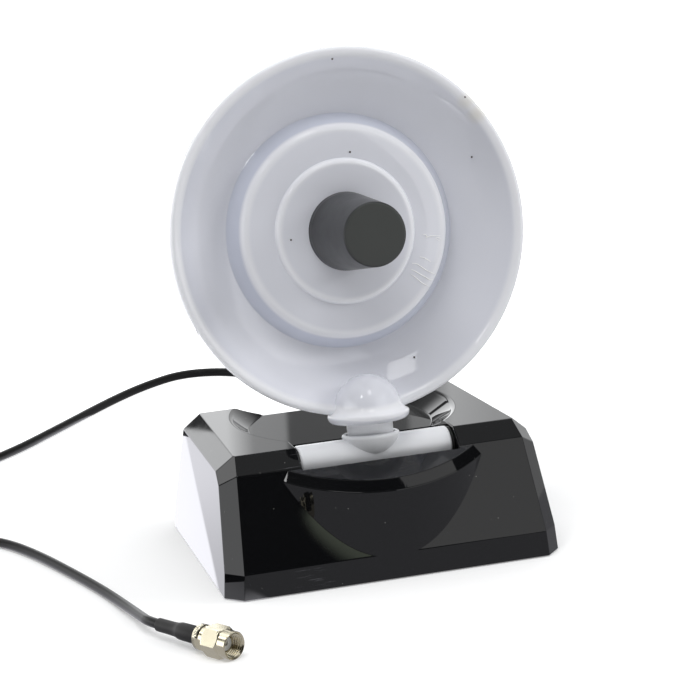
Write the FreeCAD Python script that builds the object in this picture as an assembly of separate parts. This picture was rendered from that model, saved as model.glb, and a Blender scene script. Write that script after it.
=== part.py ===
"""Directional desk antenna with a tilting, swivelling dish on a weighted base.

Millimetres. +Z is up, the front of the base and the dish face -Y. The origin is the
middle of the base where its feet stand. The dish is drawn upright about the hinge
axis and then leaned back by tilt_rest, the way it stands in use.
"""
import math
import os

import FreeCAD
import Part

V = FreeCAD.Vector
os.makedirs("parts", exist_ok=True)

# base shell, outside
base_width = 100.0
base_depth = 80.0
side_taper = 0.07
edge_gap = 0.3
plinth_top = 7.5
wall_top = 32.9
top_face = 37.2
plinth_draft = 0.56
front_lean = 11.2
side_lean = 2.35
front_chamfer = 16.4
side_chamfer = 7.35
corner_cut = 4.8
corner_cut_wall = 4.6
corner_cut_top = 0.4
corner_drop = 3.4
shell_wall = 2.2
roof_wall = 2.4

# round well, front apron and slot for the hinge bar
well_from_front = 46.4
well_y = well_from_front - base_depth / 2
well_radius = 32.35
well_floor_radius = 27.0
well_floor = 32.3
apron_from_front = 49.4
apron_y = apron_from_front - base_depth / 2
apron_set_back = 0.2
apron_radius = apron_from_front - apron_set_back
apron_low = edge_gap + 1.5
apron_edge_y = front_lean - base_depth / 2
apron_edge_drop = 0.25
apron_edge_z = wall_top - apron_edge_drop
apron_slope = 22.0
apron_bevel = 2.2
apron_wall = 2.4
slot_half = 23.3
trough_floor = 22.5
cheek_block = 6.0

# hinge bar and its bearings
hinge_from_front = 19.27
hinge_y = hinge_from_front - base_depth / 2
hinge_z = 31.73
trough_front = hinge_y - 8.67
trough_back = hinge_y + 16.23
tilt_rest = 9.6
bar_radius = 4.95
bar_half = 22.5
bar_end_round = 0.7
trunnion_radius = 3.0
trunnion_clear = 0.05
trunnion_end = 27.4
trunnion_end_gap = 0.2
washer_outer = 4.7
washer_thick = 0.6
cap_side_clear = 0.08
cap_flange = 2.1
cap_flange_long = 18.0
cap_screw_pitch = 6.2

# collar and swivel
collar_radius = 8.22
collar_low_radius = 4.5
collar_low = 0.0
collar_rim_low = 4.4
collar_top = 6.0
collar_mouth_gap = 0.31
collar_mouth_floor = 4.9
stem_radius = 6.55
stem_low = 5.1
stem_top = 16.0
stem_mouth = 2.9
stem_mouth_deep = 5.5
spigot_radius = 5.2
spigot_clear = 0.06
spigot_low = 2.0
groove_radius = 4.3
groove_low = 2.85
groove_high = 3.8
clip_thick = 0.7
clip_low = 2.98
clip_side = 5.9
clip_front = 3.0
clip_back = 6.6
clip_clear = 0.08

# dish, measured from the hinge axis up the stem and from the rim plane back
rim_radius = 52.1
rim_over_hinge = 11.0
dish_height = rim_radius + rim_over_hinge
rim_round = 1.1
rim_crest = rim_radius - rim_round
rim_side = 2.4
rim_lip = 3.0
bowl_top_radius = rim_radius - rim_lip
bowl_top_depth = 0.9
crease_radius = 33.5
crease_depth = 10.8
step1_radius = 30.4
step1_depth = 5.0
step2_radius = 20.6
step2_depth = 3.7
step_round = 1.25
bowl_swing = 44.0
dish_wall = 2.1
cover_seat = 15.5
cover_thick = 2.0
cover_inset = 9.7
cover_radius = rim_radius - cover_inset
ring_wall = 2.0
boss_circle = 25.0
boss_radius = 2.8
boss_hole = 0.87
knuckle_low = 9.3
skirt_radius = 11.65
skirt_high = 11.9
waist_radius = 8.9
waist_high = 16.6
dome_top = 22.6
socket_clear = 0.01
duct_half = 5.0
duct_back = 15.5

# feed post and what is behind it
post_base_radius = 11.18
post_tip_radius = 9.05
post_tip = -23.0
post_wall = 1.6
post_spigot = 7.95
post_hole_clear = 0.1
ring_outer = 10.4
ring_thick = 1.0
reflector_inner = 11.0
reflector_outer = 28.2
reflector_thick = 0.8
board_thick = 1.0

# cords
cord_radius = 1.4
pigtail_radius = 0.9
pigtail_clear = 0.4
gland_x = 14.0
gland_z = 11.0
gland_seat = base_depth / 2 - 4.8
gland_long = 10.8
gland_nose = gland_seat + gland_long
gland_block = 5.2
gland_flange = 1.5
coil_x = -124.0
coil_y = 76.0
coil_mean = 15.5
coil_half_wide = 7.0
coil_high = 5.7
coil_round = 2.2
coil_touch = 0.05

# plug
plug_front = V(-60.6, -83.6, 4.0)
plug_aim = V(0.481, -0.877, 0.0)
plug_long = 12.6
nut_flats = 8.0
nut_back = 2.0
nut_hex_long = 5.9
nut_nose_radius = 3.92
nut_bore = 3.05
nut_rear_bore = 2.45
barrel_radius = 2.4
barrel_front = 9.6
collar_plug_radius = 3.6
ferrule_radius = 1.95
ferrule_long = 8.0
sleeve_back = 16.2

# bottom parts
foot_radius = 4.0
plate_low = 0.9
plate_high = 2.9
plate_gap = 0.2
weight_wide = 60.0
weight_deep = 36.0
weight_high = 6.0
weight_y = 10.0
weight_gap = 0.1
screw_radius = 1.2
screw_head = 2.4
boss_inboard = 3.65


def box(x0, x1, y0, y1, z0, z1):
    return Part.makeBox(x1 - x0, y1 - y0, z1 - z0, V(x0, y0, z0))


def rod(radius, start, aim, length):
    return Part.makeCylinder(radius, length, start, aim)


def ring(outer, inner, start, aim, length):
    return rod(outer, start, aim, length).cut(rod(inner, start, aim, length))


def polygon(points):
    return Part.makePolygon(points + [points[0]])


def path(points):
    """Wire of straight runs joined by tangent arcs."""
    edges = []
    last = points[0]
    for i in range(1, len(points) - 1):
        here = points[i]
        before = points[i - 1] - here
        after = points[i + 1] - here
        turn = math.pi - before.getAngle(after)
        reach = 0.45 * min(before.Length, after.Length)
        a = here + before.normalize() * reach
        b = here + after.normalize() * reach
        radius = reach / math.tan(turn / 2)
        mid_aim = (before + after).normalize()
        mid = here + mid_aim * (radius / math.cos(turn / 2) - radius)
        edges.append(Part.LineSegment(last, a).toShape())
        edges.append(Part.Arc(a, mid, b).toShape())
        radii.append(radius)
        last = b
    edges.append(Part.LineSegment(last, points[-1]).toShape())
    return Part.Wire(edges)


def tube(points, radius):
    wire = path(points)
    aim = points[1] - points[0]
    profile = Part.Wire(Part.makeCircle(radius, points[0], aim))
    solid = wire.makePipeShell([profile], True, False)
    share = solid.Volume / (math.pi * radius * radius * wire.Length)
    print("tube length %.1f, volume share %.4f" % (wire.Length, share))
    return solid


def spin(points, centre, axis):
    """Solid of revolution from a closed list of points and (through) arc pairs."""
    edges = []
    count = len(points)
    i = 0
    while i < count:
        here = points[i]
        follow = points[(i + 1) % count]
        if isinstance(follow, tuple):
            edges.append(Part.Arc(here, follow[0], points[(i + 2) % count]).toShape())
            i += 2
        else:
            edges.append(Part.LineSegment(here, follow).toShape())
            i += 1
    face = Part.Face(Part.Wire(edges))
    return face.revolve(centre, axis, 360)


radii = []
nodes = {}

# Base shell: stacked eight-sided sections, the apron drum in front, then the cuts.


def half_width(y, inset):
    return base_width / 2 - inset - side_taper * (y + base_depth / 2)


def section(z, front, side, cut):
    y0 = -base_depth / 2 + front
    y1 = base_depth / 2 - front
    right = [
        V(half_width(y0, side) - cut, y0, z),
        V(half_width(y0 + cut, side), y0 + cut, z),
        V(half_width(y1 - cut, side), y1 - cut, z),
        V(half_width(y1, side) - cut, y1, z),
    ]
    left = [V(-p.x, p.y, p.z) for p in reversed(right)]
    return polygon(right + left)


def lean(z, at_wall_top):
    return plinth_draft + (z - plinth_top) / (wall_top - plinth_top) * (at_wall_top - plinth_draft)


outer_sections = [
    section(edge_gap, 0.0, 0.0, corner_cut),
    section(plinth_top, plinth_draft, plinth_draft, corner_cut),
    section(wall_top, front_lean, side_lean, corner_cut_wall),
    section(top_face, front_chamfer, side_chamfer, corner_cut_top),
]
outer = Part.makeLoft(outer_sections[0:2], True, True)
outer = outer.fuse(Part.makeLoft(outer_sections[1:3], True, True))
outer = outer.fuse(Part.makeLoft(outer_sections[2:4], True, True)).removeSplitter()

# Each front corner is cut by one slanting plane through the ends of the front chamfer.
corner_share = (wall_top - corner_drop - plinth_top) / (wall_top - plinth_top)
for side in (-1, 1):
    wall_y = front_lean - base_depth / 2
    wall_end = V(half_width(wall_y, side_lean) - corner_cut_wall, wall_y, wall_top)
    top_y = front_chamfer - base_depth / 2
    top_end = V(half_width(top_y, side_chamfer) - corner_cut_top, top_y, top_face)
    low_y = plinth_draft - base_depth / 2 + corner_cut
    low = V(half_width(low_y, plinth_draft), low_y, plinth_top)
    high_y = wall_y + corner_cut_wall
    high = V(half_width(high_y, side_lean), high_y, wall_top)
    side_end = low + (high - low) * corner_share
    spots = [V(side * p.x, p.y, p.z) for p in (wall_end, top_end, side_end)]
    middle = (spots[0] + spots[1] + spots[2]) * (1 / 3)
    outward = (spots[1] - spots[0]).cross(spots[2] - spots[0])
    if outward.x * side < 0:
        outward = outward * -1
    outward.normalize()
    wide = polygon([middle + (p - middle) * 8 for p in spots])
    outer = outer.cut(Part.Face(wide).extrude(outward * base_width / 4))

drum_axis = V(0, apron_y, 0)
drum = rod(apron_radius, drum_axis + V(0, 0, apron_low), V(0, 0, 1), 2 * top_face)
slope = Part.makeBox(200, 200, 80, V(-100, -100, 0))
slope.rotate(V(0, 0, 0), V(1, 0, 0), apron_slope)
slope.translate(V(0, apron_edge_y, apron_edge_z))
drum = drum.cut(slope)
rim_edges = [e for e in drum.Edges if e.BoundBox.ZLength > 5 and e.BoundBox.XLength > 20]
drum = drum.makeChamfer(apron_bevel, rim_edges)
drum = drum.common(box(-60, 60, -60, -22, 0, 60))
outer = outer.fuse(drum).removeSplitter()

well = Part.makeCone(
    well_floor_radius,
    well_radius + (well_radius - well_floor_radius),
    2 * (top_face - well_floor),
    V(0, well_y, well_floor),
)
well_round = 1.6
lip_r = well_radius + well_round * 0.8
lip = spin(
    [
        V(0, well_y, top_face + 1),
        V(lip_r, well_y, top_face + 1),
        V(lip_r, well_y, top_face),
        (V(well_radius - 0.15, well_y, top_face - 0.42),),
        V(well_radius - 1.2, well_y, top_face - 1.1),
        V(0, well_y, top_face - 1.1),
    ],
    V(0, well_y, 0),
    V(0, 0, 1),
)
shell = outer.cut(well).cut(lip)
shell = shell.cut(box(-slot_half, slot_half, -60, 20, well_floor, 60))

roof = well_floor - roof_wall
inner_sections = [
    section(edge_gap - 1.0, shell_wall, shell_wall, corner_cut),
    section(plinth_top, plinth_draft + shell_wall, plinth_draft + shell_wall, corner_cut),
    section(roof, lean(roof, front_lean) + shell_wall, lean(roof, side_lean) + shell_wall, corner_cut),
]
cavity = Part.makeLoft(inner_sections[0:2], True, True)
cavity = cavity.fuse(Part.makeLoft(inner_sections[1:3], True, True))
apron_room = rod(apron_radius - apron_wall, drum_axis + V(0, 0, plinth_top), V(0, 0, 1), 11.0)
cavity = cavity.fuse(apron_room.common(box(-40, 40, -60, -25, 0, 60)))
trough_low = trough_floor - shell_wall
block_side = slot_half + cheek_block
trough_block = box(-block_side, block_side, -60, trough_back + shell_wall, trough_low, 60)
cavity = cavity.cut(trough_block)
shell = shell.cut(cavity)
shell = shell.cut(box(-slot_half, slot_half, trough_front, trough_back, trough_floor, 60))

# Bearing slots for the trunnions, open below, and the pigtail's way out at the right.
slot_radius = trunnion_radius + trunnion_clear
slot_end = trunnion_end + trunnion_end_gap
for side in (-1, 1):
    start = V(side * (slot_half - 1), hinge_y, hinge_z)
    seat = rod(slot_radius, start, V(side, 0, 0), slot_end - slot_half + 1)
    x0, x1 = sorted((side * slot_half, side * slot_end))
    way = box(x0, x1, hinge_y - slot_radius, hinge_y + slot_radius, trough_low - 1, hinge_z)
    shell = shell.cut(seat.fuse(way))
pigtail_room = pigtail_radius + pigtail_clear
pigtail_x = 31.2
shell = shell.cut(rod(pigtail_room, V(slot_end - 1, hinge_y, hinge_z), V(1, 0, 0), pigtail_x - slot_end + 1))
shell = shell.cut(rod(1.5, V(pigtail_x, hinge_y, hinge_z + 1.4), V(0, 0, -1), 8.0))

# Screw bosses, and the pad and hole for the cord grommet.
boss_front_x = (block_side + base_width / 2) / 2 - boss_inboard
boss_front = V(boss_front_x, 14 - base_depth / 2, 0)
boss_back = V(base_width / 2 - 19, base_depth / 2 - 16, 0)
boss_spots = [(side * p.x, p.y) for p in (boss_front, boss_back) for side in (1, -1)]
for x, y in boss_spots:
    boss = rod(3.2, V(x, y, plate_high), V(0, 0, 1), 29).common(outer)
    shell = shell.fuse(boss)
pad_low = gland_seat - gland_block
pad = box(gland_x - 7.5, gland_x + 7.5, pad_low, pad_low + 12, gland_z - 7.4, gland_z + 9).common(outer)
shell = shell.fuse(pad)
shell = shell.cut(box(gland_x - 5.5, gland_x + 5.5, gland_seat, 60, gland_z - 5.5, gland_z + 5.5))
gland_hole = 2.1
shell = shell.cut(rod(gland_hole, V(gland_x, pad_low - 1, gland_z), V(0, 1, 0), gland_block + 2))
for x, y in boss_spots:
    shell = shell.cut(rod(screw_radius + 0.02, V(x, y, plate_high - 1), V(0, 0, 1), 12))
cap_screw_radius = 0.8
cap_x = (slot_half + block_side) / 2
for side in (-1, 1):
    for step in (-1, 1):
        spot = V(side * cap_x, hinge_y + step * cap_screw_pitch, trough_low - 1)
        shell = shell.cut(rod(cap_screw_radius + 0.02, spot, V(0, 0, 1), 7))
nodes["base_shell"] = shell.removeSplitter()

# Bottom plate with a frame for the ballast, feet and screws.
plate_inset = shell_wall + plate_gap
plate = Part.Face(section(plate_low, plate_inset + 0.1, plate_inset + 0.1, corner_cut))
plate = plate.extrude(V(0, 0, plate_high - plate_low))
frame_outer = box(
    -weight_wide / 2 - 2, weight_wide / 2 + 2, weight_y - weight_deep / 2 - 2,
    weight_y + weight_deep / 2 + 2, plate_high, plate_high + 3,
)
frame_inner = box(
    -weight_wide / 2 - weight_gap, weight_wide / 2 + weight_gap, weight_y - weight_deep / 2 - weight_gap,
    weight_y + weight_deep / 2 + weight_gap, plate_high, plate_high + 3,
)
boss_room = Part.makeCompound([rod(3.8, V(x, y, plate_high), V(0, 0, 1), 5) for x, y in boss_spots])
plate = plate.fuse(frame_outer.cut(frame_inner).cut(boss_room)).removeSplitter()
for x, y in boss_spots:
    plate = plate.cut(rod(screw_radius + 0.1, V(x, y, 0), V(0, 0, 1), 6))
    plate = plate.cut(rod(screw_head + 0.2, V(x, y, 0), V(0, 0, 1), plate_low + 1.0))
nodes["base_plate"] = plate
weight = box(
    -weight_wide / 2, weight_wide / 2, weight_y - weight_deep / 2, weight_y + weight_deep / 2,
    plate_high, plate_high + weight_high,
)
weight_corners = [e for e in weight.Edges if e.BoundBox.ZLength > 1]
weight = weight.makeChamfer(2.0, weight_corners)
weight_clear = Part.makeCompound([rod(3.8, V(x, y, plate_high), V(0, 0, 1), 12) for x, y in boss_spots])
nodes["base_weight"] = weight.cut(weight_clear)
foot_front = V(base_width / 2 - 9, 7 - base_depth / 2, 0)
foot_back = V(base_width / 2 - 14, base_depth / 2 - 8, 0)
foot_spots = [(side * p.x, p.y) for p in (foot_front, foot_back) for side in (1, -1)]
for i, (x, y) in enumerate(foot_spots):
    nodes["foot_%d" % (i + 1)] = rod(foot_radius, V(x, y, 0), V(0, 0, 1), plate_low)
for i, (x, y) in enumerate(boss_spots):
    head = rod(screw_head, V(x, y, plate_low + 0.1), V(0, 0, 1), 0.9)
    drive = rod(1.2, V(x, y, plate_low + 0.1), V(0, 0, 1), 0.5)
    shank = rod(screw_radius, V(x, y, plate_low + 1.0), V(0, 0, 1), 9.5)
    nodes["base_screw_%d" % (i + 1)] = head.fuse(shank).cut(drive)

# Bearing caps that close the trunnion slots from below.
for side, name in ((-1, "left"), (1, "right")):
    x0, x1 = sorted((side * (slot_half + 0.15), side * (slot_end - 0.05)))
    y_half = slot_radius - cap_side_clear
    plug = box(x0, x1, hinge_y - y_half, hinge_y + y_half, trough_low, hinge_z - 1.4)
    plug = plug.cut(rod(slot_radius, V(side * 20, hinge_y, hinge_z), V(side, 0, 0), 12))
    f0, f1 = sorted((side * (slot_half + 0.15), side * block_side))
    low = trough_low - cap_flange
    flange = box(f0, f1, hinge_y - cap_flange_long / 2, hinge_y + cap_flange_long / 2, low, trough_low)
    cap = flange.fuse(plug).removeSplitter()
    for j, step in enumerate((-1, 1)):
        spot = V(side * cap_x, hinge_y + step * cap_screw_pitch, low - 1)
        cap = cap.cut(rod(cap_screw_radius + 0.1, spot, V(0, 0, 1), 6))
        head = rod(1.7, spot - V(0, 0, 0.2), V(0, 0, 1), 1.2)
        shank = rod(cap_screw_radius, spot + V(0, 0, 1.0), V(0, 0, 1), cap_flange + 5)
        cross = box(-1.1, 1.1, -0.25, 0.25, -0.3, 0.3)
        cross.translate(spot - V(0, 0, 0.2))
        nodes["cap_screw_%s_%d" % (name, j + 1)] = head.fuse(shank).cut(cross)
    nodes["hinge_cap_%s" % name] = cap

# Hinge bar with trunnions, funnel collar and the bores for swivel and pigtail.
up = V(0, 0, 1)
origin = V(0, 0, 0)
bar = rod(bar_radius, V(-bar_half, 0, 0), V(1, 0, 0), 2 * bar_half)
bar = bar.makeFillet(bar_end_round, [e for e in bar.Edges if abs(abs(e.BoundBox.Center.x) - bar_half) < 1e-6])
bar = bar.fuse(rod(trunnion_radius, V(-trunnion_end, 0, 0), V(1, 0, 0), 2 * trunnion_end))
collar = spin(
    [
        V(0, 0, -1),
        V(collar_low_radius - 1.2, 0, -1),
        V(collar_low_radius, 0, collar_low),
        V(collar_radius - 0.15, 0, collar_rim_low - 0.1),
        V(collar_radius, 0, collar_rim_low + 0.3),
        V(collar_radius, 0, collar_top - 0.4),
        V(collar_radius - 0.4, 0, collar_top),
        V(0, 0, collar_top),
    ],
    origin,
    up,
)
bar = bar.fuse(collar).removeSplitter()
bar = bar.cut(rod(stem_radius + collar_mouth_gap, V(0, 0, collar_mouth_floor), up, 5))
bar = bar.cut(rod(spigot_radius + spigot_clear, V(0, 0, spigot_low - 0.1), up, 6))
bar = bar.cut(rod(pigtail_room, V(0, 0, -pigtail_room), up, 5))
bar = bar.cut(rod(pigtail_room, origin, V(1, 0, 0), 40))
clip_high = clip_low + clip_thick
bar = bar.cut(box(
    -clip_side - clip_clear, clip_side + clip_clear, -clip_front - clip_clear, 12,
    clip_low - clip_clear, clip_high + clip_clear,
))
hinge = {"hinge_bar": bar}
for side, name in ((-1, "left"), (1, "right")):
    start = V(side * (bar_half + 0.05), 0, 0)
    hinge["friction_washer_" + name] = ring(
        washer_outer, trunnion_radius + 0.03, start, V(side, 0, 0), washer_thick)
clip = box(-clip_side, clip_side, -clip_front, clip_back, clip_low, clip_high)
clip = clip.cut(rod(groove_radius + 0.05, V(0, 0, 0), up, 8))
clip = clip.cut(box(-groove_radius - 0.05, groove_radius + 0.05, -10, 0, 0, 8))
hinge["swivel_clip"] = clip
pigtail = rod(pigtail_radius, origin, V(1, 0, 0), slot_end - 0.1).fuse(Part.makeSphere(pigtail_radius))
hinge["pigtail_hinge"] = pigtail.fuse(rod(pigtail_radius, origin, up, spigot_low - 0.15)).removeSplitter()

# Swivel stem.
stem = rod(stem_radius, V(0, 0, stem_low), up, stem_top - stem_low)
stem = stem.fuse(rod(spigot_radius, V(0, 0, spigot_low), up, stem_low - spigot_low)).removeSplitter()
groove = ring(spigot_radius + 1, groove_radius, V(0, 0, groove_low), up, groove_high - groove_low)
stem = stem.cut(groove)
stem = stem.cut(rod(pigtail_room, V(0, 0, 0), up, 20))
stem = stem.cut(rod(stem_mouth, V(0, 0, stem_top - stem_mouth_deep), up, stem_mouth_deep + 1))
dish = {"swivel_stem": stem}

# Dish front: rim, bowl, two raised steps, ring wall, bosses, knuckle and rear duct.
dish_axis = V(0, 0, dish_height)
back = V(0, 1, 0)


def at(radius, depth):
    return V(0, depth, dish_height + radius)


def bowl_mid(r0, d0, r1, d1, swing):
    """Middle point of a bowl arc bulging to the back."""
    chord = math.hypot(r1 - r0, d1 - d0)
    rise = chord / 2 * math.tan(math.radians(swing) / 4)
    nx = -(d1 - d0) / chord
    nd = (r1 - r0) / chord
    return (at((r0 + r1) / 2 + nx * rise, (d0 + d1) / 2 + nd * rise),)


hole_radius = post_spigot + post_hole_clear
step1_back = step1_depth + dish_wall
front_bowl = bowl_mid(crease_radius, crease_depth, bowl_top_radius, bowl_top_depth, bowl_swing)
back_bowl = bowl_mid(
    crease_radius + 1.2, crease_depth + dish_wall, bowl_top_radius + 0.3, bowl_top_depth + 3.4, bowl_swing)
shell_profile = [
    at(hole_radius, step2_depth),
    at(step2_radius - step_round, step2_depth),
    (at(step2_radius - 0.3 * step_round, step2_depth + 0.3 * step_round),),
    at(step2_radius, step1_depth - 0.15),
    at(step2_radius + 0.2, step1_depth),
    at(step1_radius - step_round, step1_depth),
    (at(step1_radius - 0.3 * step_round, step1_depth + 0.3 * step_round),),
    at(step1_radius + 0.1, step1_depth + step_round),
    at(crease_radius - 0.5, crease_depth - 0.2),
    at(crease_radius, crease_depth),
    front_bowl,
    at(bowl_top_radius, bowl_top_depth),
    at(rim_crest - 0.7, 0.12),
    at(rim_crest, 0.0),
    (at(rim_radius - 0.293 * rim_round, 0.293 * rim_round),),
    at(rim_radius, rim_round),
    at(rim_radius, rim_side),
    (at(rim_radius - 0.25, rim_side + 0.75),),
    at(rim_radius - 1.0, rim_side + 1.1),
    at(bowl_top_radius + 0.3, bowl_top_depth + 3.4),
    back_bowl,
    at(crease_radius + 1.2, crease_depth + dish_wall),
    at(crease_radius - 1.6, crease_depth + dish_wall),
    at(step1_radius - 1.4, step1_back),
    at(hole_radius, step1_back),
]
front = spin(shell_profile, dish_axis, back)
seat_wall = ring(cover_radius, cover_radius - ring_wall, dish_axis + back * 8.6, back, cover_seat - 8.6)
front = front.fuse(seat_wall)
boss_spots_dish = []
for i in range(3):
    angle = math.radians(90 + 120 * i)
    spot = dish_axis + V(boss_circle * math.cos(angle), 0, boss_circle * math.sin(angle))
    boss_spots_dish.append(spot)
    boss = rod(boss_radius, spot + back * (step1_back - 1.0), back, cover_seat - step1_back + 1.0)
    boss = boss.cut(rod(boss_hole, spot + back * (step1_back + 1.0), back, 20))
    front = front.fuse(boss)
dome_rise = dome_top - waist_high
dome_ball = (waist_radius ** 2 + dome_rise ** 2) / (2 * dome_rise)
knuckle = spin(
    [
        V(0, 0, knuckle_low),
        V(skirt_radius - 2.2, 0, knuckle_low),
        (V(skirt_radius - 0.5, 0, knuckle_low + 0.75),),
        V(skirt_radius, 0, skirt_high),
        (V(waist_radius + 0.55, 0, waist_high - 3.0),),
        V(waist_radius, 0, waist_high),
        (V(dome_ball * math.sqrt(0.5), 0, dome_top - dome_ball * (1 - math.sqrt(0.5))),),
        V(0, 0, dome_top),
    ],
    origin,
    up,
)
duct_low = 13.0
duct_high = dish_height - cover_radius + 1.0
duct = box(-duct_half, duct_half, 3.0, duct_back, duct_low, duct_high)
duct_round = 3.5
duct = duct.makeFillet(duct_round, [e for e in duct.Edges if e.BoundBox.Center.y > duct_back - 0.01])
duct = duct.cut(rod(cover_radius - ring_wall, dish_axis, back, 30))
front = front.fuse(knuckle).fuse(duct)
front = front.cut(rod(stem_radius + socket_clear, V(0, 0, knuckle_low - 2), up, stem_top - knuckle_low + 2))
pigtail_back = cover_seat - 1.3
feed_points = [
    V(0, 0, spigot_low - 0.05),
    V(0, 0, stem_top + 1.4),
    V(0, pigtail_back - 2.6, stem_top + 3.2),
    V(0, pigtail_back, stem_top + 11.0),
    V(0, pigtail_back, dish_height - 9.0),
    V(0, 9.6, dish_height - 0.5),
]
feed_way = tube(feed_points, pigtail_room)
front = front.cut(feed_way)
dish["dish_shell"] = front.removeSplitter()

# Dish back cover and screws.
cover = rod(cover_radius, dish_axis + back * cover_seat, back, cover_thick)
cover = cover.makeFillet(1.2, [e for e in cover.Edges if abs(e.BoundBox.Center.y - cover_seat - cover_thick) < 1e-6])
spigot_outer = cover_radius - ring_wall - 0.1
cover = cover.fuse(ring(spigot_outer, spigot_outer - 1.6, dish_axis + back * (cover_seat - 1.6), back, 1.6))
notch_top = dish_height - cover_radius + 12.0
cover = cover.cut(box(-2.5, 2.5, 0, cover_seat, 0, notch_top))
for i, spot in enumerate(boss_spots_dish):
    cover = cover.cut(rod(1.0, spot, back, 30))
    cover = cover.cut(rod(2.4, spot + back * (cover_seat + cover_thick - 1.3), back, 5))
    head = rod(2.2, spot + back * (cover_seat + cover_thick - 1.3), back, 1.1)
    shank = rod(0.85, spot + back * 9.2, back, cover_seat + cover_thick - 1.3 - 9.2)
    drive = rod(1.0, spot + back * (cover_seat + cover_thick - 0.8), back, 2)
    dish["dish_screw_%d" % (i + 1)] = head.fuse(shank).cut(drive)
dish["dish_back"] = cover.removeSplitter()

# Feed post cover, retaining ring, reflector, board and pigtail.
post_profile = [
    at(post_spigot, step2_depth),
    at(post_base_radius, step2_depth),
    at(post_tip_radius + 0.06, post_tip + 0.8),
    (at(post_tip_radius - 0.2, post_tip + 0.2),),
    at(post_tip_radius - 0.8, post_tip),
    at(0, post_tip),
    at(0, post_tip + post_wall),
    at(post_tip_radius - post_wall, post_tip + post_wall),
    at(post_base_radius - post_wall - 2.4, step2_depth - 3.0),
    at(post_spigot - 1.5, step2_depth - 1.0),
    at(post_spigot - 1.5, step1_back + 2.2),
    at(post_spigot, step1_back + 2.2),
]
dish["feed_cover"] = spin(post_profile, dish_axis, back)
dish["feed_ring"] = ring(ring_outer, post_spigot + 0.02, dish_axis + back * step1_back, back, ring_thick)
reflector = ring(reflector_outer, reflector_inner, dish_axis + back * step1_back, back, reflector_thick)
for spot in boss_spots_dish:
    reflector = reflector.cut(rod(boss_radius + 0.15, spot, back, 30))
dish["reflector_plate"] = reflector
board_half = post_spigot - 1.5 - 0.02
board = box(-board_half, board_half, step2_depth - 0.5, step1_back + 2.0, dish_height - board_thick / 2,
            dish_height + board_thick / 2)
stalk = box(-3.6, 3.6, post_tip + 4.0, step2_depth, dish_height - board_thick / 2, dish_height + board_thick / 2)
dish["feed_board"] = board.common(rod(board_half, dish_axis - back * 40, back, 80)).fuse(stalk).removeSplitter()
dish["pigtail_dish"] = tube(feed_points, pigtail_radius)

for group in (hinge, dish):
    for name, shape in group.items():
        placed = shape.copy()
        placed.rotate(origin, V(1, 0, 0), -tilt_rest)
        placed.translate(V(0, hinge_y, hinge_z))
        nodes[name] = placed

# Grommet and the pigtail inside the base.
gland_inner = gland_seat - gland_block - 1.6
gland = rod(4.6, V(gland_x, gland_seat, gland_z), back, gland_flange)
nose_start = V(gland_x, gland_seat + gland_flange, gland_z)
gland = gland.fuse(Part.makeCone(3.1, 2.1, gland_long - gland_flange, nose_start, back))
gland = gland.fuse(rod(gland_hole - 0.03, V(gland_x, gland_inner, gland_z), back, gland_seat - gland_inner))
gland = gland.fuse(rod(2.8, V(gland_x, gland_inner, gland_z), back, 1.6))
gland_bore = cord_radius + 0.02
gland = gland.cut(rod(gland_bore, V(gland_x, gland_inner - 1, gland_z), back, 40))
for rib in (3.4, 5.6, 7.8):
    gland = gland.cut(ring(5.0, 2.2, V(gland_x, gland_seat + rib, gland_z), back, 0.9))
nodes["cord_grommet"] = gland.removeSplitter()
nodes["pigtail_base"] = tube(
    [
        V(slot_end + 0.05, hinge_y, hinge_z),
        V(pigtail_x, hinge_y, hinge_z),
        V(pigtail_x, hinge_y, 17.0),
        V(pigtail_x - 5, 0.0, 13.0),
        V(gland_x, gland_inner - 14.0, gland_z),
        V(gland_x + 0.3, gland_inner + 2.4, gland_z),
    ],
    pigtail_radius,
)

# Outer cord: run behind the base to the coil, the coil, and the run back to the plug.
floor = cord_radius
run_points = [
    V(gland_x, gland_seat - 4.0, gland_z),
    V(gland_x, gland_nose + 12.0, gland_z),
    V(17.5, 82.0, 3.0),
    V(26.0, 110.0, floor),
    V(33.0, 140.0, floor),
    V(31.0, 170.0, floor),
    V(19.0, 190.5, floor),
    V(2.5, 196.2, floor),
    V(-12.5, 188.0, floor),
    V(-28.0, 175.0, floor),
    V(-50.0, 152.5, floor),
    V(-76.0, 126.5, floor),
    V(-103.0, 110.0, floor),
    V(coil_x, coil_y + coil_mean + coil_half_wide + cord_radius + coil_touch, floor),
]
nodes["cord_run"] = tube(run_points, cord_radius)
coil_outer = coil_mean + coil_half_wide
coil_inner = coil_mean - coil_half_wide
coil_start = V(coil_x, coil_y, 0)
coil = ring(coil_outer, coil_inner, coil_start, up, coil_high)
nodes["cord_coil"] = coil.makeChamfer(coil_round, coil.Edges)
aim = V(plug_aim).normalize()
plug_base = plug_front - aim * plug_long
tail_points = [
    V(coil_x + 4.0, coil_y - coil_mean - coil_half_wide - cord_radius - coil_touch, floor),
    V(-107.0, 50.0, floor),
    V(-96.0, 40.0, floor),
    V(-89.5, 24.0, floor),
    V(-84.0, 3.0, floor),
    V(-79.4, -17.0, floor),
    V(-77.0, -36.0, floor + 0.6),
    V(-76.4, -47.8, floor + 1.7),
    plug_base - aim * (sleeve_back + 3.5),
    plug_base - aim * (ferrule_long + 0.4),
]
nodes["cord_tail"] = tube(tail_points, cord_radius)

# Plug: sleeve, body, insulator, contact, snap ring and coupling nut.


def along(distance):
    return plug_base + aim * distance


def turned(profile):
    """Revolve (distance, radius) pairs about the plug axis."""
    side = aim.cross(up).normalize()
    points = [along(t) + side * r for t, r in profile]
    return Part.Face(polygon(points)).revolve(plug_base, aim, 360)


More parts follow.
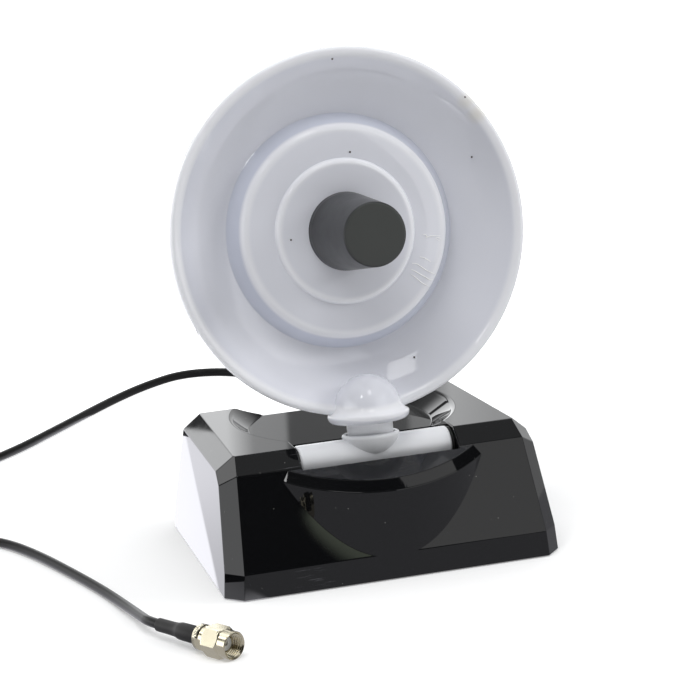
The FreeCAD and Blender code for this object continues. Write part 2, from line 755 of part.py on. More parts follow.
nodes["heat_shrink"] = turned([
    (-sleeve_back, cord_radius + 0.04), (-sleeve_back, 1.85), (-ferrule_long - 0.8, 1.95), (-ferrule_long + 0.4, 2.4),
    (0.0, 2.45), (0.0, ferrule_radius + 0.02), (-ferrule_long, ferrule_radius + 0.02),
    (-ferrule_long - 0.5, cord_radius + 0.04),
])
groove_at = nut_back + 1.2
body = turned([
    (-ferrule_long, 0.0), (-ferrule_long, ferrule_radius), (0.0, ferrule_radius), (0.0, collar_plug_radius),
    (nut_back - 0.2, collar_plug_radius), (nut_back - 0.2, barrel_radius), (groove_at, barrel_radius),
    (groove_at, 2.05), (groove_at + 0.7, 2.05), (groove_at + 0.7, barrel_radius), (barrel_front, barrel_radius),
    (barrel_front, 1.9), (3.0, 1.9), (3.0, 0.0),
])
nodes["plug_body"] = body
nodes["plug_insulator"] = turned([(3.0, 0.65), (3.0, 1.89), (barrel_front - 0.1, 1.89), (barrel_front - 0.1, 0.65)])
nodes["plug_contact"] = turned([(3.0, 0.0), (3.0, 0.64), (barrel_front - 0.9, 0.64), (barrel_front - 0.9, 0.0)])
nodes["snap_ring"] = turned([
    (groove_at + 0.05, 2.07), (groove_at + 0.05, 2.75), (groove_at + 0.65, 2.75), (groove_at + 0.65, 2.07),
])
hex_radius = nut_flats / math.sqrt(3)
side = aim.cross(up).normalize()
hex_points = []
for i in range(6):
    angle = math.radians(60 * i)
    hex_points.append(along(nut_back) + side * hex_radius * math.cos(angle) + up * hex_radius * math.sin(angle))
nut = Part.Face(polygon(hex_points)).extrude(aim * nut_hex_long)
nut = nut.common(turned([
    (nut_back, 0.0), (nut_back, 4.2), (nut_back + 0.5, 4.7), (nut_back + nut_hex_long - 0.6, 4.7),
    (nut_back + nut_hex_long, 4.0), (nut_back + nut_hex_long, 0.0),
]))
nut = nut.fuse(rod(nut_nose_radius, along(nut_back + nut_hex_long), aim, plug_long - nut_back - nut_hex_long))
ring_room = groove_at - 0.25
nut = nut.cut(rod(nut_rear_bore, along(nut_back - 1), aim, 20))
nut = nut.cut(rod(2.85, along(ring_room), aim, 20))
nut = nut.cut(rod(nut_bore, along(groove_at + 1.0), aim, 20))
mouth = Part.makeCone(nut_bore, nut_bore + 0.5, 0.5, along(plug_long - 0.5), aim)
nodes["coupling_nut"] = nut.cut(mouth).removeSplitter()

for name, shape in nodes.items():
    shape.exportStep("parts/%s.step" % name)
print("nodes", len(nodes), "cord arc radii", " ".join("%.1f" % r for r in radii))
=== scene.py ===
import math

import bmesh
import bpy
from mathutils import Matrix, Vector


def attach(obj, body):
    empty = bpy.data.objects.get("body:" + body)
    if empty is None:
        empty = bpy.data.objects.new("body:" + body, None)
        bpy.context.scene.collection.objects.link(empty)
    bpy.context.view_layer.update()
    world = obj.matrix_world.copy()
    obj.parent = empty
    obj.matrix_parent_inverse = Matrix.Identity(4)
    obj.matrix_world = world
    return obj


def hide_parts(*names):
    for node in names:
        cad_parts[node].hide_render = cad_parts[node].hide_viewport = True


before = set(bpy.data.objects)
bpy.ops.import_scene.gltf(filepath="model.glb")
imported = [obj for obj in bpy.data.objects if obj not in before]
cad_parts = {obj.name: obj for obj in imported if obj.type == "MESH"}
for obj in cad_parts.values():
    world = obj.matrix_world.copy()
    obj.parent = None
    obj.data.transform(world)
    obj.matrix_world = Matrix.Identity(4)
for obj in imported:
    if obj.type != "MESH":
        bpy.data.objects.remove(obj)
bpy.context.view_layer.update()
scene = bpy.context.scene
scene.view_settings.view_transform = "Standard"

# Camera of the photograph: a long lens a little left of the front and above the table,
# with the slight roll and off-centre framing of a hand-set product shot.
MM = 0.001
camera_place = Vector((-283.63, -913.74, 312.27)) * MM
camera_right = Vector((0.9494, -0.3104, -0.0476)).normalized()
camera_back = camera_right.cross(Vector((0.1242, 0.2319, 0.9648))).normalized()
camera_up = camera_back.cross(camera_right)
picture_wide = 700
focal_pixels = 3453.1
centre_pixel = (353.23, 352.89)
lens = bpy.data.cameras.new("picture_camera")
lens.sensor_width = 36.0
lens.lens = lens.sensor_width * focal_pixels / picture_wide
lens.shift_x = (picture_wide / 2 - centre_pixel[0]) / picture_wide
lens.shift_y = (centre_pixel[1] - picture_wide / 2) / picture_wide
lens.clip_start = 0.01
camera = bpy.data.objects.new("picture_camera", lens)
camera.matrix_world = Matrix.Translation(camera_place) @ Matrix(
    (camera_right, camera_up, camera_back)).transposed().to_4x4()
scene.collection.objects.link(camera)
scene.camera = camera

# Table and light: a white paper sweep that burns out to white away from the object, soft
# lamps high on both sides, and a room that is bright behind the table and dim in front.


def new_material(name):
    material = bpy.data.materials.new(name)
    material.use_nodes = True
    tree = material.node_tree
    return material, tree, tree.nodes["Principled BSDF"]


def add_node(tree, kind, **values):
    node = tree.nodes.new(kind)
    for key, value in values.items():
        setattr(node, key, value)
    return node


def mesh_object(name, mesh, material=None):
    thing = bpy.data.objects.new(name, mesh)
    scene.collection.objects.link(thing)
    if material:
        mesh.materials.clear()
        mesh.materials.append(material)
    return thing


def axes(tree, kind="Object"):
    """Coordinates of the shaded point, then their three parts."""
    place = add_node(tree, "ShaderNodeTexCoord").outputs[kind]
    split = add_node(tree, "ShaderNodeSeparateXYZ")
    tree.links.new(place, split.inputs[0])
    return place, split.outputs["X"], split.outputs["Y"], split.outputs["Z"]


def ramp(tree, socket, low, high, start, end):
    """Smooth step of a value from start to end."""
    step = add_node(tree, "ShaderNodeMapRange", interpolation_type="SMOOTHSTEP")
    step.inputs["From Min"].default_value = low
    step.inputs["From Max"].default_value = high
    step.inputs["To Min"].default_value = start
    step.inputs["To Max"].default_value = end
    tree.links.new(socket, step.inputs["Value"])
    return step.outputs[0]


def combine(tree, operation, first, second):
    """Arithmetic on two values; either may be a plain number."""
    sum_node = add_node(tree, "ShaderNodeMath", operation=operation)
    for i, part in enumerate((first, second)):
        if isinstance(part, (int, float)):
            sum_node.inputs[i].default_value = part
        else:
            tree.links.new(part, sum_node.inputs[i])
    return sum_node.outputs[0]


def times(tree, *parts):
    """Product of two or more values."""
    total = parts[0]
    for part in parts[1:]:
        total = combine(tree, "MULTIPLY", total, part)
    return total


def mix_shaders(tree, factor, first, second):
    """The first shader where the factor is 0, the second where it is 1."""
    mixed = add_node(tree, "ShaderNodeMixShader")
    for socket, source in zip(mixed.inputs, (factor, first, second)):
        tree.links.new(source, socket)
    return mixed.outputs[0]


floor_mesh = bpy.data.meshes.new("floor")
floor_half = 3.0
floor_corners = [(x * floor_half, y * floor_half, 0) for x, y in ((-1, -1), (1, -1), (1, 1), (-1, 1))]
floor_mesh.from_pydata(floor_corners, [], [(0, 1, 2, 3)])
sweep_white, tree, bsdf = new_material("sweep_white")
tree.nodes.remove(bsdf)
paper = add_node(tree, "ShaderNodeBsdfDiffuse")
paper.inputs["Color"].default_value = (0.8, 0.8, 0.8, 1)
place, floor_x, floor_y = axes(tree)[:3]
away = add_node(tree, "ShaderNodeVectorMath", operation="LENGTH")
tree.links.new(place, away.inputs[0])
lift = add_node(tree, "ShaderNodeEmission")
tree.links.new(ramp(tree, away.outputs["Value"], 0.09, 0.22, 0.24, 1.0), lift.inputs["Strength"])
lit_paper = add_node(tree, "ShaderNodeAddShader")
tree.links.new(paper.outputs[0], lit_paper.inputs[0])
tree.links.new(lift.outputs[0], lit_paper.inputs[1])

# What the glossy pieces mirror of the table: dim in front, a white card behind at the left.
card_slant = 0.075
dim_front = 0.5
card_edge = combine(tree, "ADD", floor_x, times(tree, floor_y, card_slant))
card = combine(tree, "MAXIMUM", ramp(tree, floor_y, -0.03, 0.11, 1.0, 1.6),
               ramp(tree, card_edge, -0.0522, -0.0508, 0.0, 2.4))
card = times(tree, card, ramp(tree, floor_x, -0.037, -0.040, 0.0, 1.0),
             ramp(tree, floor_y, -0.065, -0.035, 0.0, 1.0))
mirrored = add_node(tree, "ShaderNodeEmission")
mirrored.inputs["Color"].default_value = (0.94, 0.94, 1.0, 1)
tree.links.new(combine(tree, "ADD", card, dim_front), mirrored.inputs["Strength"])
ray = add_node(tree, "ShaderNodeLightPath")
shiny = combine(tree, "MAXIMUM", ray.outputs["Is Glossy Ray"], ray.outputs["Is Transmission Ray"])
by_camera = mix_shaders(tree, ray.outputs["Is Camera Ray"], paper.outputs[0], lit_paper.outputs[0])
by_gloss = mix_shaders(tree, shiny, by_camera, mirrored.outputs[0])
tree.links.new(by_gloss, tree.nodes["Material Output"].inputs["Surface"])
mesh_object("floor", floor_mesh, sweep_white)

room = bpy.data.worlds.new("room")
scene.world = room
room.use_nodes = True
tree = room.node_tree
sky = tree.nodes["Background"]

# Wall behind the table, seen in the black gloss: bright panels with darker gaps between
# them, fading upward. Low cards glow at both sides and a pale ceiling lies behind; the
# rest of the room is dark.
axis_x, axis_y, axis_z = axes(tree, "Generated")[1:]
compass = combine(tree, "ARCTAN2", axis_x, axis_y)
panels = add_node(tree, "ShaderNodeValToRGB")
panel_low, panel_high = 0.24, 0.36
panel_stops = [
    (0.240, 1.0), (0.264, 1.0), (0.272, 0.40), (0.2815, 0.37), (0.2830, 0.11),
    (0.318, 0.11), (0.320, 0.27), (0.326, 0.30), (0.332, 0.62), (0.345, 0.5),
]
while len(panels.color_ramp.elements) < len(panel_stops):
    panels.color_ramp.elements.new(0.5)
for element, (turn, level) in zip(panels.color_ramp.elements, panel_stops):
    element.position = (turn - panel_low) / (panel_high - panel_low)
    element.color = (level, level, level, 1)
spread_out = combine(tree, "DIVIDE", combine(tree, "SUBTRACT", compass, panel_low), panel_high - panel_low)
tree.links.new(spread_out, panels.inputs["Fac"])
gap = times(tree, ramp(tree, compass, -0.1880, -0.1868, 0.0, 0.96),
            ramp(tree, compass, -0.12, -0.11, 1.0, 0.0))
wall_glow = times(tree, ramp(tree, axis_y, 0.15, 0.8, 0.0, 2.4), ramp(tree, axis_z, 0.31, 0.5, 1.0, 0.2),
                  panels.outputs["Color"], combine(tree, "SUBTRACT", 1.0, gap))
left_glow = times(tree, ramp(tree, axis_x, -0.72, -0.86, 0.0, 1.9),
                  ramp(tree, axis_z, 0.29, 0.52, 1.0, 0.0))
right_glow = times(tree, ramp(tree, axis_x, 0.7, 0.95, 0.0, 0.5), ramp(tree, axis_z, 0.2, 0.45, 1.0, 0.0))
zenith = ramp(tree, axis_z, 0.75, 0.95, 0.0, 0.36)
ceiling = times(tree, ramp(tree, axis_z, 0.6, 0.8, 0.0, 1.7), ramp(tree, axis_y, 0.1, 0.4, 0.0, 1.0))
room_dark = 0.03
mirrored_room = room_dark
for glow in (wall_glow, left_glow, right_glow, zenith, ceiling):
    mirrored_room = combine(tree, "ADD", glow, mirrored_room)

# Matt surfaces take the even light of a white tent that is open on the camera's side, and
# the camera itself sees plain white.
tent = combine(tree, "MAXIMUM", ramp(tree, axis_y, -0.3, 0.25, 0.12, 0.85),
               ramp(tree, axis_z, 0.4, 0.9, 0.0, 0.95))
tent = times(tree, tent, ramp(tree, axis_x, -0.8, 0.3, 0.8, 1.0))
ray = add_node(tree, "ShaderNodeLightPath")
matt, by_eye = ray.outputs["Is Diffuse Ray"], ray.outputs["Is Camera Ray"]
not_matt, not_eye = (combine(tree, "SUBTRACT", 1.0, flag) for flag in (matt, by_eye))
strength = combine(tree, "ADD", times(tree, matt, tent), times(tree, not_matt, mirrored_room))
strength = combine(tree, "MAXIMUM", times(tree, strength, not_eye), by_eye)
tree.links.new(strength, sky.inputs["Strength"])
sky.inputs["Color"].default_value = (0.98, 0.99, 1.0, 1)


def soft_box(name, place, target, wide, high, power):
    """Flat soft light of a given size, aimed at a point."""
    light = bpy.data.lights.new(name, "AREA")
    light.shape = "RECTANGLE"
    light.size = wide
    light.size_y = high
    light.energy = power
    lamp = bpy.data.objects.new(name, light)
    lamp.location = place
    aim = Vector(target) - Vector(place)
    lamp.rotation_euler = aim.to_track_quat("-Z", "Y").to_euler()
    scene.collection.objects.link(lamp)
    return lamp


object_middle = (0, 0, 0.06)
key = soft_box("key", (1.0, -0.28, 0.58), object_middle, 0.45, 0.45, 4.2)
key.visible_glossy = False
fill_high = soft_box("fill_high", (-0.35, -0.25, 1.1), object_middle, 0.5, 0.5, 3.1)
fill_high.visible_glossy = False
soft_box("overhead", (0.0, -0.38, 0.98), object_middle, 0.2, 0.42, 0.66)
soft_box("left_box", (-0.47, -0.45, 0.80), object_middle, 0.10, 0.16, 0.4)
soft_box("left_high", (-0.70, 0.30, 0.70), object_middle, 0.25, 0.25, 0.44)
front_card = soft_box("front_card", (0.42, -0.52, 0.35), object_middle, 0.5, 0.5, 0.8)
front_card.visible_diffuse = False

# Base shell: one glossy black moulding with leaning walls, a plinth band, a round well in
# its top and a half-drum apron in front; its edges have a small moulded radius.


def mesh_from(bm, name):
    mesh = bpy.data.meshes.new(name)
    bm.to_mesh(mesh)
    bm.free()
    return mesh


def loft(name, rings, closed=False):
    """Solid through point rings of equal count, capped at both ends or closed to a loop."""
    bm = bmesh.new()
    rows = [[bm.verts.new(point) for point in ring] for ring in rings]
    following = rows[1:] + rows[:1] if closed else rows[1:]
    count = len(rows[0])
    for low, high in zip(rows, following):
        for i in range(count):
            j = (i + 1) % count
            bm.faces.new((low[i], low[j], high[j], high[i]))
    if not closed:
        bm.faces.new(list(reversed(rows[0])))
        bm.faces.new(rows[-1])
    bmesh.ops.recalc_face_normals(bm, faces=bm.faces)
    return mesh_from(bm, name)


def block(name, low, high):
    (x0, y0, z0), (x1, y1, z1) = low, high
    ring = [(x0, y0), (x1, y0), (x1, y1), (x0, y1)]
    return loft(name, [[(x * MM, y * MM, z * MM) for x, y in ring] for z in (z0, z1)])


def arc(start, through, end, steps):
    """Points on the circle arc through three (radius, height) pairs, start left out."""
    (ax, ay), (bx, by), (cx, cy) = start, through, end
    d = 2 * (ax * (by - cy) + bx * (cy - ay) + cx * (ay - by))
    sa, sb, sc = ax * ax + ay * ay, bx * bx + by * by, cx * cx + cy * cy
    ox = (sa * (by - cy) + sb * (cy - ay) + sc * (ay - by)) / d
    oy = (sa * (cx - bx) + sb * (ax - cx) + sc * (bx - ax)) / d
    radius = math.hypot(ax - ox, ay - oy)
    first = math.atan2(ay - oy, ax - ox)
    middle = (math.atan2(by - oy, bx - ox) - first) % math.tau
    last = (math.atan2(cy - oy, cx - ox) - first) % math.tau
    if middle > last:
        last -= math.tau
    angles = [first + last * i / steps for i in range(1, steps + 1)]
    return [(ox + radius * math.cos(angle), oy + radius * math.sin(angle)) for angle in angles]


def lathe(name, profile, turn, steps=192):
    """Closed solid of revolution from (radius, height) pairs in mm; turn places its Z axis."""
    bm = bmesh.new()
    columns = []
    for i in range(steps):
        angle = math.tau * i / steps
        columns.append([bm.verts.new((r * MM * math.cos(angle), r * MM * math.sin(angle), h * MM))
                        for r, h in profile])
    count = len(profile)
    for i in range(steps):
        a, b = columns[i], columns[(i + 1) % steps]
        for j in range(count):
            k = (j + 1) % count
            if profile[j][0] < 1e-6 and profile[k][0] < 1e-6:
                continue
            bm.faces.new((a[j], b[j], b[k], a[k]))
    bmesh.ops.remove_doubles(bm, verts=bm.verts, dist=1e-7)
    bmesh.ops.recalc_face_normals(bm, faces=bm.faces)
    mesh = mesh_from(bm, name)
    mesh.transform(turn)
    return mesh


def evaluated_mesh(thing):
    """Plain mesh of an object with its modifiers or curve section worked out."""
    bpy.context.view_layer.update()
    graph = bpy.context.evaluated_depsgraph_get()
    return bpy.data.meshes.new_from_object(thing.evaluated_get(graph))


def carve(mesh, tool, operation):
    """Union or difference of two closed meshes, returned as a plain mesh."""
    body, knife = mesh_object("carve_body", mesh), mesh_object("carve_tool", tool)
    change = body.modifiers.new("change", "BOOLEAN")
    change.operation = operation
    change.solver = "EXACT"
    change.object = knife
    done = evaluated_mesh(body)
    for thing in (body, knife):
        old = thing.data
        bpy.data.objects.remove(thing)
        bpy.data.meshes.remove(old)
    return done


def soften_edges(mesh, radius, chosen, segments=3):
    """Rounds the edges that chosen() accepts, given the edge and its face angle."""
    bm = bmesh.new()
    bm.from_mesh(mesh)
    bmesh.ops.dissolve_limit(bm, angle_limit=math.radians(0.2), verts=bm.verts, edges=bm.edges)
    picked = [e for e in bm.edges if len(e.link_faces) == 2 and chosen(e, e.calc_face_angle(0))]
    bmesh.ops.bevel(bm, geom=picked, offset=radius * MM, segments=segments, profile=0.5, affect="EDGES",
                    clamp_overlap=False)
    bm.to_mesh(mesh)
    bm.free()


def finish_shading(thing, sharp_degrees=35, flat_faces=True):
    """Smooth shading with sharp edges; flat_faces keeps big flat faces free of shading drift."""
    thing.data.shade_smooth()
    thing.data.set_sharp_from_angle(angle=math.radians(sharp_degrees))
    if not flat_faces:
        return
    even = thing.modifiers.new("even_normals", "WEIGHTED_NORMAL")
    even.keep_sharp = True
    even.weight = 100


base_half_wide = 50.0
base_half_deep = 40.0
side_taper = 0.07
base_levels = [
    (0.3, 0.0, 0.0, 4.8),
    (7.5, 0.56, 0.56, 4.8),
    (32.9, 11.2, 2.35, 4.6),
    (37.2, 16.4, 7.35, 0.4),
]


def base_ring(height, front, side, cut):
    """Eight-cornered plan of the base at one height, narrower at the back."""
    y0, y1 = front - base_half_deep, base_half_deep - front

    def half(y):
        return base_half_wide - side - side_taper * (y + base_half_deep)

    right = [(half(y0) - cut, y0), (half(y0 + cut), y0 + cut),
             (half(y1 - cut), y1 - cut), (half(y1) - cut, y1)]
    plan = right + [(-x, y) for x, y in reversed(right)]
    return [(x * MM, y * MM, height * MM) for x, y in plan]


well_y = 6.4
apron_y = 9.4
apron_radius = 49.2
apron_edge = (-28.8, 32.65)
apron_slope = math.radians(22.0)
apron_bevel = 2.2
facet_corners = ((42.27, -28.8, 32.9), (41.1, -23.6, 37.2), (47.09, -25.64, 29.5))
shell = loft("base_shell", [base_ring(*level) for level in base_levels])
bm = bmesh.new()
bm.from_mesh(shell)
for side in (-1, 1):
    wall_end, top_end, side_end = (Vector((side * x, y, z)) * MM for x, y, z in facet_corners)
    across = (top_end - wall_end).cross(side_end - wall_end).normalized()
    if across.x * side < 0:
        across = -across
    found = bmesh.ops.bisect_plane(bm, geom=bm.verts[:] + bm.edges[:] + bm.faces[:], dist=1e-6,
                                   plane_co=wall_end, plane_no=across, clear_outer=True)
    bmesh.ops.edgenet_fill(bm, edges=[e for e in found["geom_cut"] if isinstance(e, bmesh.types.BMEdge)])
bmesh.ops.remove_doubles(bm, verts=bm.verts, dist=2e-5)
bmesh.ops.recalc_face_normals(bm, faces=bm.faces)
bm.to_mesh(shell)
bm.free()
soften_edges(shell, 0.22, lambda edge, angle: angle > math.radians(8), 5)

apron_turn = math.radians(47.0)
apron_steps = 120
apron_inner = -22.0
apron_foot = 1.8
edge_round = 0.3


def on_top(angle, reach):
    """Height of the apron's sloping top at a distance from the drum's axis."""
    return apron_edge[1] + math.tan(apron_slope) * (apron_y - reach * math.cos(angle) - apron_edge[0])


columns = []
for i in range(2 * apron_steps + 1):
    angle = apron_turn * (i / apron_steps - 1)
    low_edge = on_top(angle, apron_radius) - apron_bevel
    high_edge = apron_radius - apron_bevel
    top_edge = on_top(angle, high_edge)
    profile = [(apron_radius, apron_foot), (apron_radius, low_edge - edge_round)]
    profile += arc(profile[-1], (apron_radius - 0.05, low_edge + 0.02),
                   (apron_radius - 0.2, low_edge + 0.21), 3)
    profile += [(high_edge + 0.21, top_edge - 0.17)]
    profile += arc(profile[-1], (high_edge + 0.02, top_edge - 0.03),
                   (high_edge - edge_round, on_top(angle, high_edge - edge_round)), 3)
    inner = (apron_y - apron_inner) / math.cos(angle)
    profile += [(inner, on_top(angle, inner)), (inner, apron_foot)]
    columns.append([(r * MM * math.sin(angle), (apron_y - r * math.cos(angle)) * MM, z * MM)
                    for r, z in profile])
shell = carve(shell, loft("apron", columns), "UNION")
base_top, well_floor, well_deep = 37.2, 32.3, 4.9
well_profile = [(0, well_floor), (26.4, well_floor)]
well_profile += arc(well_profile[-1], (26.75, 32.4), (27.0, 32.62), 4) + [(31.4, 36.35)]
well_profile += arc(well_profile[-1], (32.1, 36.95), (32.9, base_top), 6) + [(32.9, 40), (0, 40)]
well = lathe("well", well_profile, Matrix.Translation((0, well_y * MM, 0)), 256)
floor_shift = 2.6
for vertex in well.vertices:
    depth = (base_top * MM - vertex.co.z) / (well_deep * MM)
    vertex.co.y += floor_shift * MM * min(1.0, max(0.0, depth))
shell = carve(shell, well, "DIFFERENCE")
slot_half = 23.3
shell = carve(shell, block("slot", (-slot_half, -60, well_floor), (slot_half, 20, 60)), "DIFFERENCE")
shell = carve(shell, block("trough", (-slot_half, -29.4, 22.5), (slot_half, -4.5, 60)), "DIFFERENCE")
hinge_y, hinge_z = -20.73, 31.73
for side in (-1, 1):
    bearing = lathe("bearing", [(0, 0), (3.05, 0), (3.05, 4.4), (0, 4.4)],
                    Matrix.Translation((side * 23.2 * MM, hinge_y * MM, hinge_z * MM))
                    @ Matrix.Rotation(side * math.pi / 2, 4, "Y"), 48)
    shell = carve(shell, bearing, "DIFFERENCE")
pocket_levels = [(-1.0, 2.2, 2.2, 4.8), (7.5, 2.8, 2.8, 4.8), (19.0, 8.2, 4.6, 4.8)]
shell = carve(shell, loft("underside", [base_ring(*level) for level in pocket_levels]), "DIFFERENCE")
shell = carve(shell, block("boot_pocket", (8.5, 35.2, 5.5), (19.5, 60, 16.5)), "DIFFERENCE")


def on_slot_lip(edge, angle):
    a, b = (v.co / MM for v in edge.verts)
    at_slot = all(abs(abs(p.x) - slot_half) < 0.01 and p.z > 32.5 for p in (a, b))
    return at_slot and angle > math.radians(50)


soften_edges(shell, 0.3, on_slot_lip, 2)


def surface_group(name, inputs, outputs):
    """Shader node group with named inputs (name, default) and outputs (name, type)."""
    group = bpy.data.node_groups.new(name, "ShaderNodeTree")
    for label, value in inputs:
        socket = group.interface.new_socket(label, in_out="INPUT", socket_type="NodeSocketFloat")
        socket.default_value = value
    for label, kind in outputs:
        group.interface.new_socket(label, in_out="OUTPUT", socket_type=kind)
    return group, group.nodes.new("NodeGroupInput"), group.nodes.new("NodeGroupOutput")


# Finger marks and wiping: broad patches where the gloss is a little duller.
handled, given, out = surface_group(
    "handled_gloss", [("Patch Scale", 60.0), ("Clean", 0.06), ("Dull", 0.16)],
    [("Roughness", "NodeSocketFloat")])
place = add_node(handled, "ShaderNodeTexCoord")
patches = add_node(handled, "ShaderNodeTexNoise")
patches.inputs["Detail"].default_value = 6.0
patches.inputs["Roughness"].default_value = 0.62
handled.links.new(place.outputs["Object"], patches.inputs["Vector"])
handled.links.new(given.outputs["Patch Scale"], patches.inputs["Scale"])
spread = add_node(handled, "ShaderNodeMapRange")
spread.inputs["From Min"].default_value = 0.36
spread.inputs["From Max"].default_value = 0.7
handled.links.new(patches.outputs[0], spread.inputs["Value"])
handled.links.new(given.outputs["Clean"], spread.inputs["To Min"])
handled.links.new(given.outputs["Dull"], spread.inputs["To Max"])
handled.links.new(spread.outputs[0], out.inputs["Roughness"])

# Moulding ripple: the slow waviness of a thick plastic wall, with finer grain on top.
ripple, given, out = surface_group(
    "moulding_ripple", [("Wave Scale", 25.0), ("Wave", 0.1), ("Grain Scale", 2500.0), ("Grain", 0.1)],
    [("Normal", "NodeSocketVector")])
place = add_node(ripple, "ShaderNodeTexCoord")
last_normal = None
for scale, amount, depth in (("Wave Scale", "Wave", 0.0004), ("Grain Scale", "Grain", 0.00004)):
    noise = add_node(ripple, "ShaderNodeTexNoise")
    noise.inputs["Detail"].default_value = 2.0
    ripple.links.new(place.outputs["Object"], noise.inputs["Vector"])
    ripple.links.new(given.outputs[scale], noise.inputs["Scale"])
    bump = add_node(ripple, "ShaderNodeBump")
    bump.inputs["Distance"].default_value = depth
    ripple.links.new(given.outputs[amount], bump.inputs["Strength"])
    ripple.links.new(noise.outputs[0], bump.inputs["Height"])
    if last_normal:
        ripple.links.new(last_normal, bump.inputs["Normal"])
    last_normal = bump.outputs[0]
ripple.links.new(last_normal, out.inputs["Normal"])

# Dust: a scatter of small pale specks.
dust, given, out = surface_group(
    "dust_specks", [("Speck Scale", 900.0), ("Share", 0.06)], [("Mask", "NodeSocketFloat")])
place = add_node(dust, "ShaderNodeTexCoord")
cells = add_node(dust, "ShaderNodeTexVoronoi")
dust.links.new(place.outputs["Object"], cells.inputs["Vector"])
dust.links.new(given.outputs["Speck Scale"], cells.inputs["Scale"])
rare = add_node(dust, "ShaderNodeSeparateColor")
dust.links.new(cells.outputs["Color"], rare.inputs[0])
speck_size = 0.16
chosen = combine(dust, "LESS_THAN", rare.outputs[0], given.outputs["Share"])
small = combine(dust, "LESS_THAN", cells.outputs["Distance"], speck_size)
dust.links.new(times(dust, chosen, small), out.inputs["Mask"])


def use_group(tree, group, **values):
    node = add_node(tree, "ShaderNodeGroup", node_tree=group)
    for label, value in values.items():
        node.inputs[label.replace("_", " ")].default_value = value
    return node


def two_tone(tree, bsdf, colour, shade, scale, detail):
    """Base colour that drifts between two close tones."""
    tone = add_node(tree, "ShaderNodeTexNoise")
    tone.inputs["Scale"].default_value = scale
    tone.inputs["Detail"].default_value = detail
    tree.links.new(add_node(tree, "ShaderNodeTexCoord").outputs["Object"], tone.inputs["Vector"])
    blend = add_node(tree, "ShaderNodeMix", data_type="RGBA")
    blend.inputs["A"].default_value = (*colour, 1)
    blend.inputs["B"].default_value = (*shade, 1)
    tree.links.new(tone.outputs[0], blend.inputs["Factor"])
    tree.links.new(blend.outputs["Result"], bsdf.inputs["Base Color"])


def tint_over(tree, bsdf, mask, tint):
    """Lays a tint over the base colour where the mask is 1."""
    before = bsdf.inputs["Base Color"].links[0].from_socket
    over = add_node(tree, "ShaderNodeMix", data_type="RGBA")
    over.inputs["B"].default_value = (*tint, 1)
    tree.links.new(mask, over.inputs["Factor"])
    tree.links.new(before, over.inputs["A"])
    tree.links.new(over.outputs["Result"], bsdf.inputs["Base Color"])


def plastic(name, colour, shade, clean, dull, wave, grain, speck_colour=None, share=0.05, specular=0.5):
    """Moulded plastic: two close tones, gloss that varies with handling, ripple and grain."""
    material, tree, bsdf = new_material(name)
    bsdf.inputs["Specular IOR Level"].default_value = specular
    marks = use_group(tree, handled, Clean=clean, Dull=dull)
    tree.links.new(marks.outputs[0], bsdf.inputs["Roughness"])
    skin = use_group(tree, ripple, Wave=wave, Grain=grain)
    tree.links.new(skin.outputs[0], bsdf.inputs["Normal"])
    two_tone(tree, bsdf, colour, shade, 35.0, 4.0)
    if speck_colour:
        tint_over(tree, bsdf, use_group(tree, dust, Share=share).outputs[0], speck_colour)
    return material, tree, bsdf


base_black, tree, bsdf = plastic(
    "base_black", (0.0028, 0.003, 0.0036), (0.0042, 0.0044, 0.005), 0.012, 0.035, 0.01, 0.004,
    (0.12, 0.12, 0.11), 0.02)
# A greasy smear on the front wall along the apron's left foot, and rubbed scuffs: pale
# strokes on the plinth and on the sloped edge beside the slot.
place, shell_x, shell_y, shell_z = axes(tree)
to_axis = combine(tree, "ADD", times(tree, shell_x, shell_x),
                  combine(tree, "POWER", combine(tree, "SUBTRACT", apron_y * MM, shell_y), 2.0))
to_axis = combine(tree, "SQRT", to_axis, 0.0)
smear = times(
    tree, ramp(tree, to_axis, 0.0493, 0.0522, 1.0, 0.0), ramp(tree, to_axis, 0.04921, 0.0493, 0.0, 1.0),
    ramp(tree, shell_x, -0.0275, -0.022, 0.0, 1.0), ramp(tree, shell_x, -0.006, -0.0055, 1.0, 0.0),
    ramp(tree, shell_z, 0.0076, 0.0080, 0.0, 1.0), ramp(tree, shell_z, 0.019, 0.024, 1.0, 0.0))
stretched = add_node(tree, "ShaderNodeMapping")
stretched.inputs["Scale"].default_value = (120.0, 500.0, 2600.0)
stretched.inputs["Rotation"].default_value = (0.0, 0.35, 0.0)
tree.links.new(place, stretched.inputs["Vector"])
strokes = add_node(tree, "ShaderNodeTexNoise")
strokes.inputs["Scale"].default_value = 1.0
strokes.inputs["Detail"].default_value = 3.0
tree.links.new(stretched.outputs["Vector"], strokes.inputs["Vector"])


def spot(tree, place, centre, size):
    """Soft blob, 1 at its centre, in the part's own coordinates."""
    away = add_node(tree, "ShaderNodeVectorMath", operation="DISTANCE")
    away.inputs[1].default_value = [c * MM for c in centre]
    tree.links.new(place, away.inputs[0])
    return ramp(tree, away.outputs["Value"], 0.2 * size * MM, size * MM, 1.0, 0.0)


plinth_rub = times(tree, spot(tree, place, (-24, -39.6, 4.0), 8.0),
                   ramp(tree, shell_z, 0.0066, 0.0073, 1.0, 0.0))
rubbed = combine(tree, "MAXIMUM", plinth_rub, spot(tree, place, (-26, -27.0, 34.2), 6.0))
rubbed = times(tree, rubbed, ramp(tree, strokes.outputs[0], 0.58, 0.68, 0.0, 0.55))
tint_over(tree, bsdf, smear, (0.052, 0.058, 0.046))
tint_over(tree, bsdf, rubbed, (0.10, 0.10, 0.11))
base_piece = mesh_object("base_moulding", shell, base_black)
finish_shading(base_piece, 14)
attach(base_piece, "base")
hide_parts("base_shell")

# Underside: a matte plate with a frame for the ballast, rubber feet stuck on it and
# screws sunk in it. The bearing caps and their screws hide inside the shell.


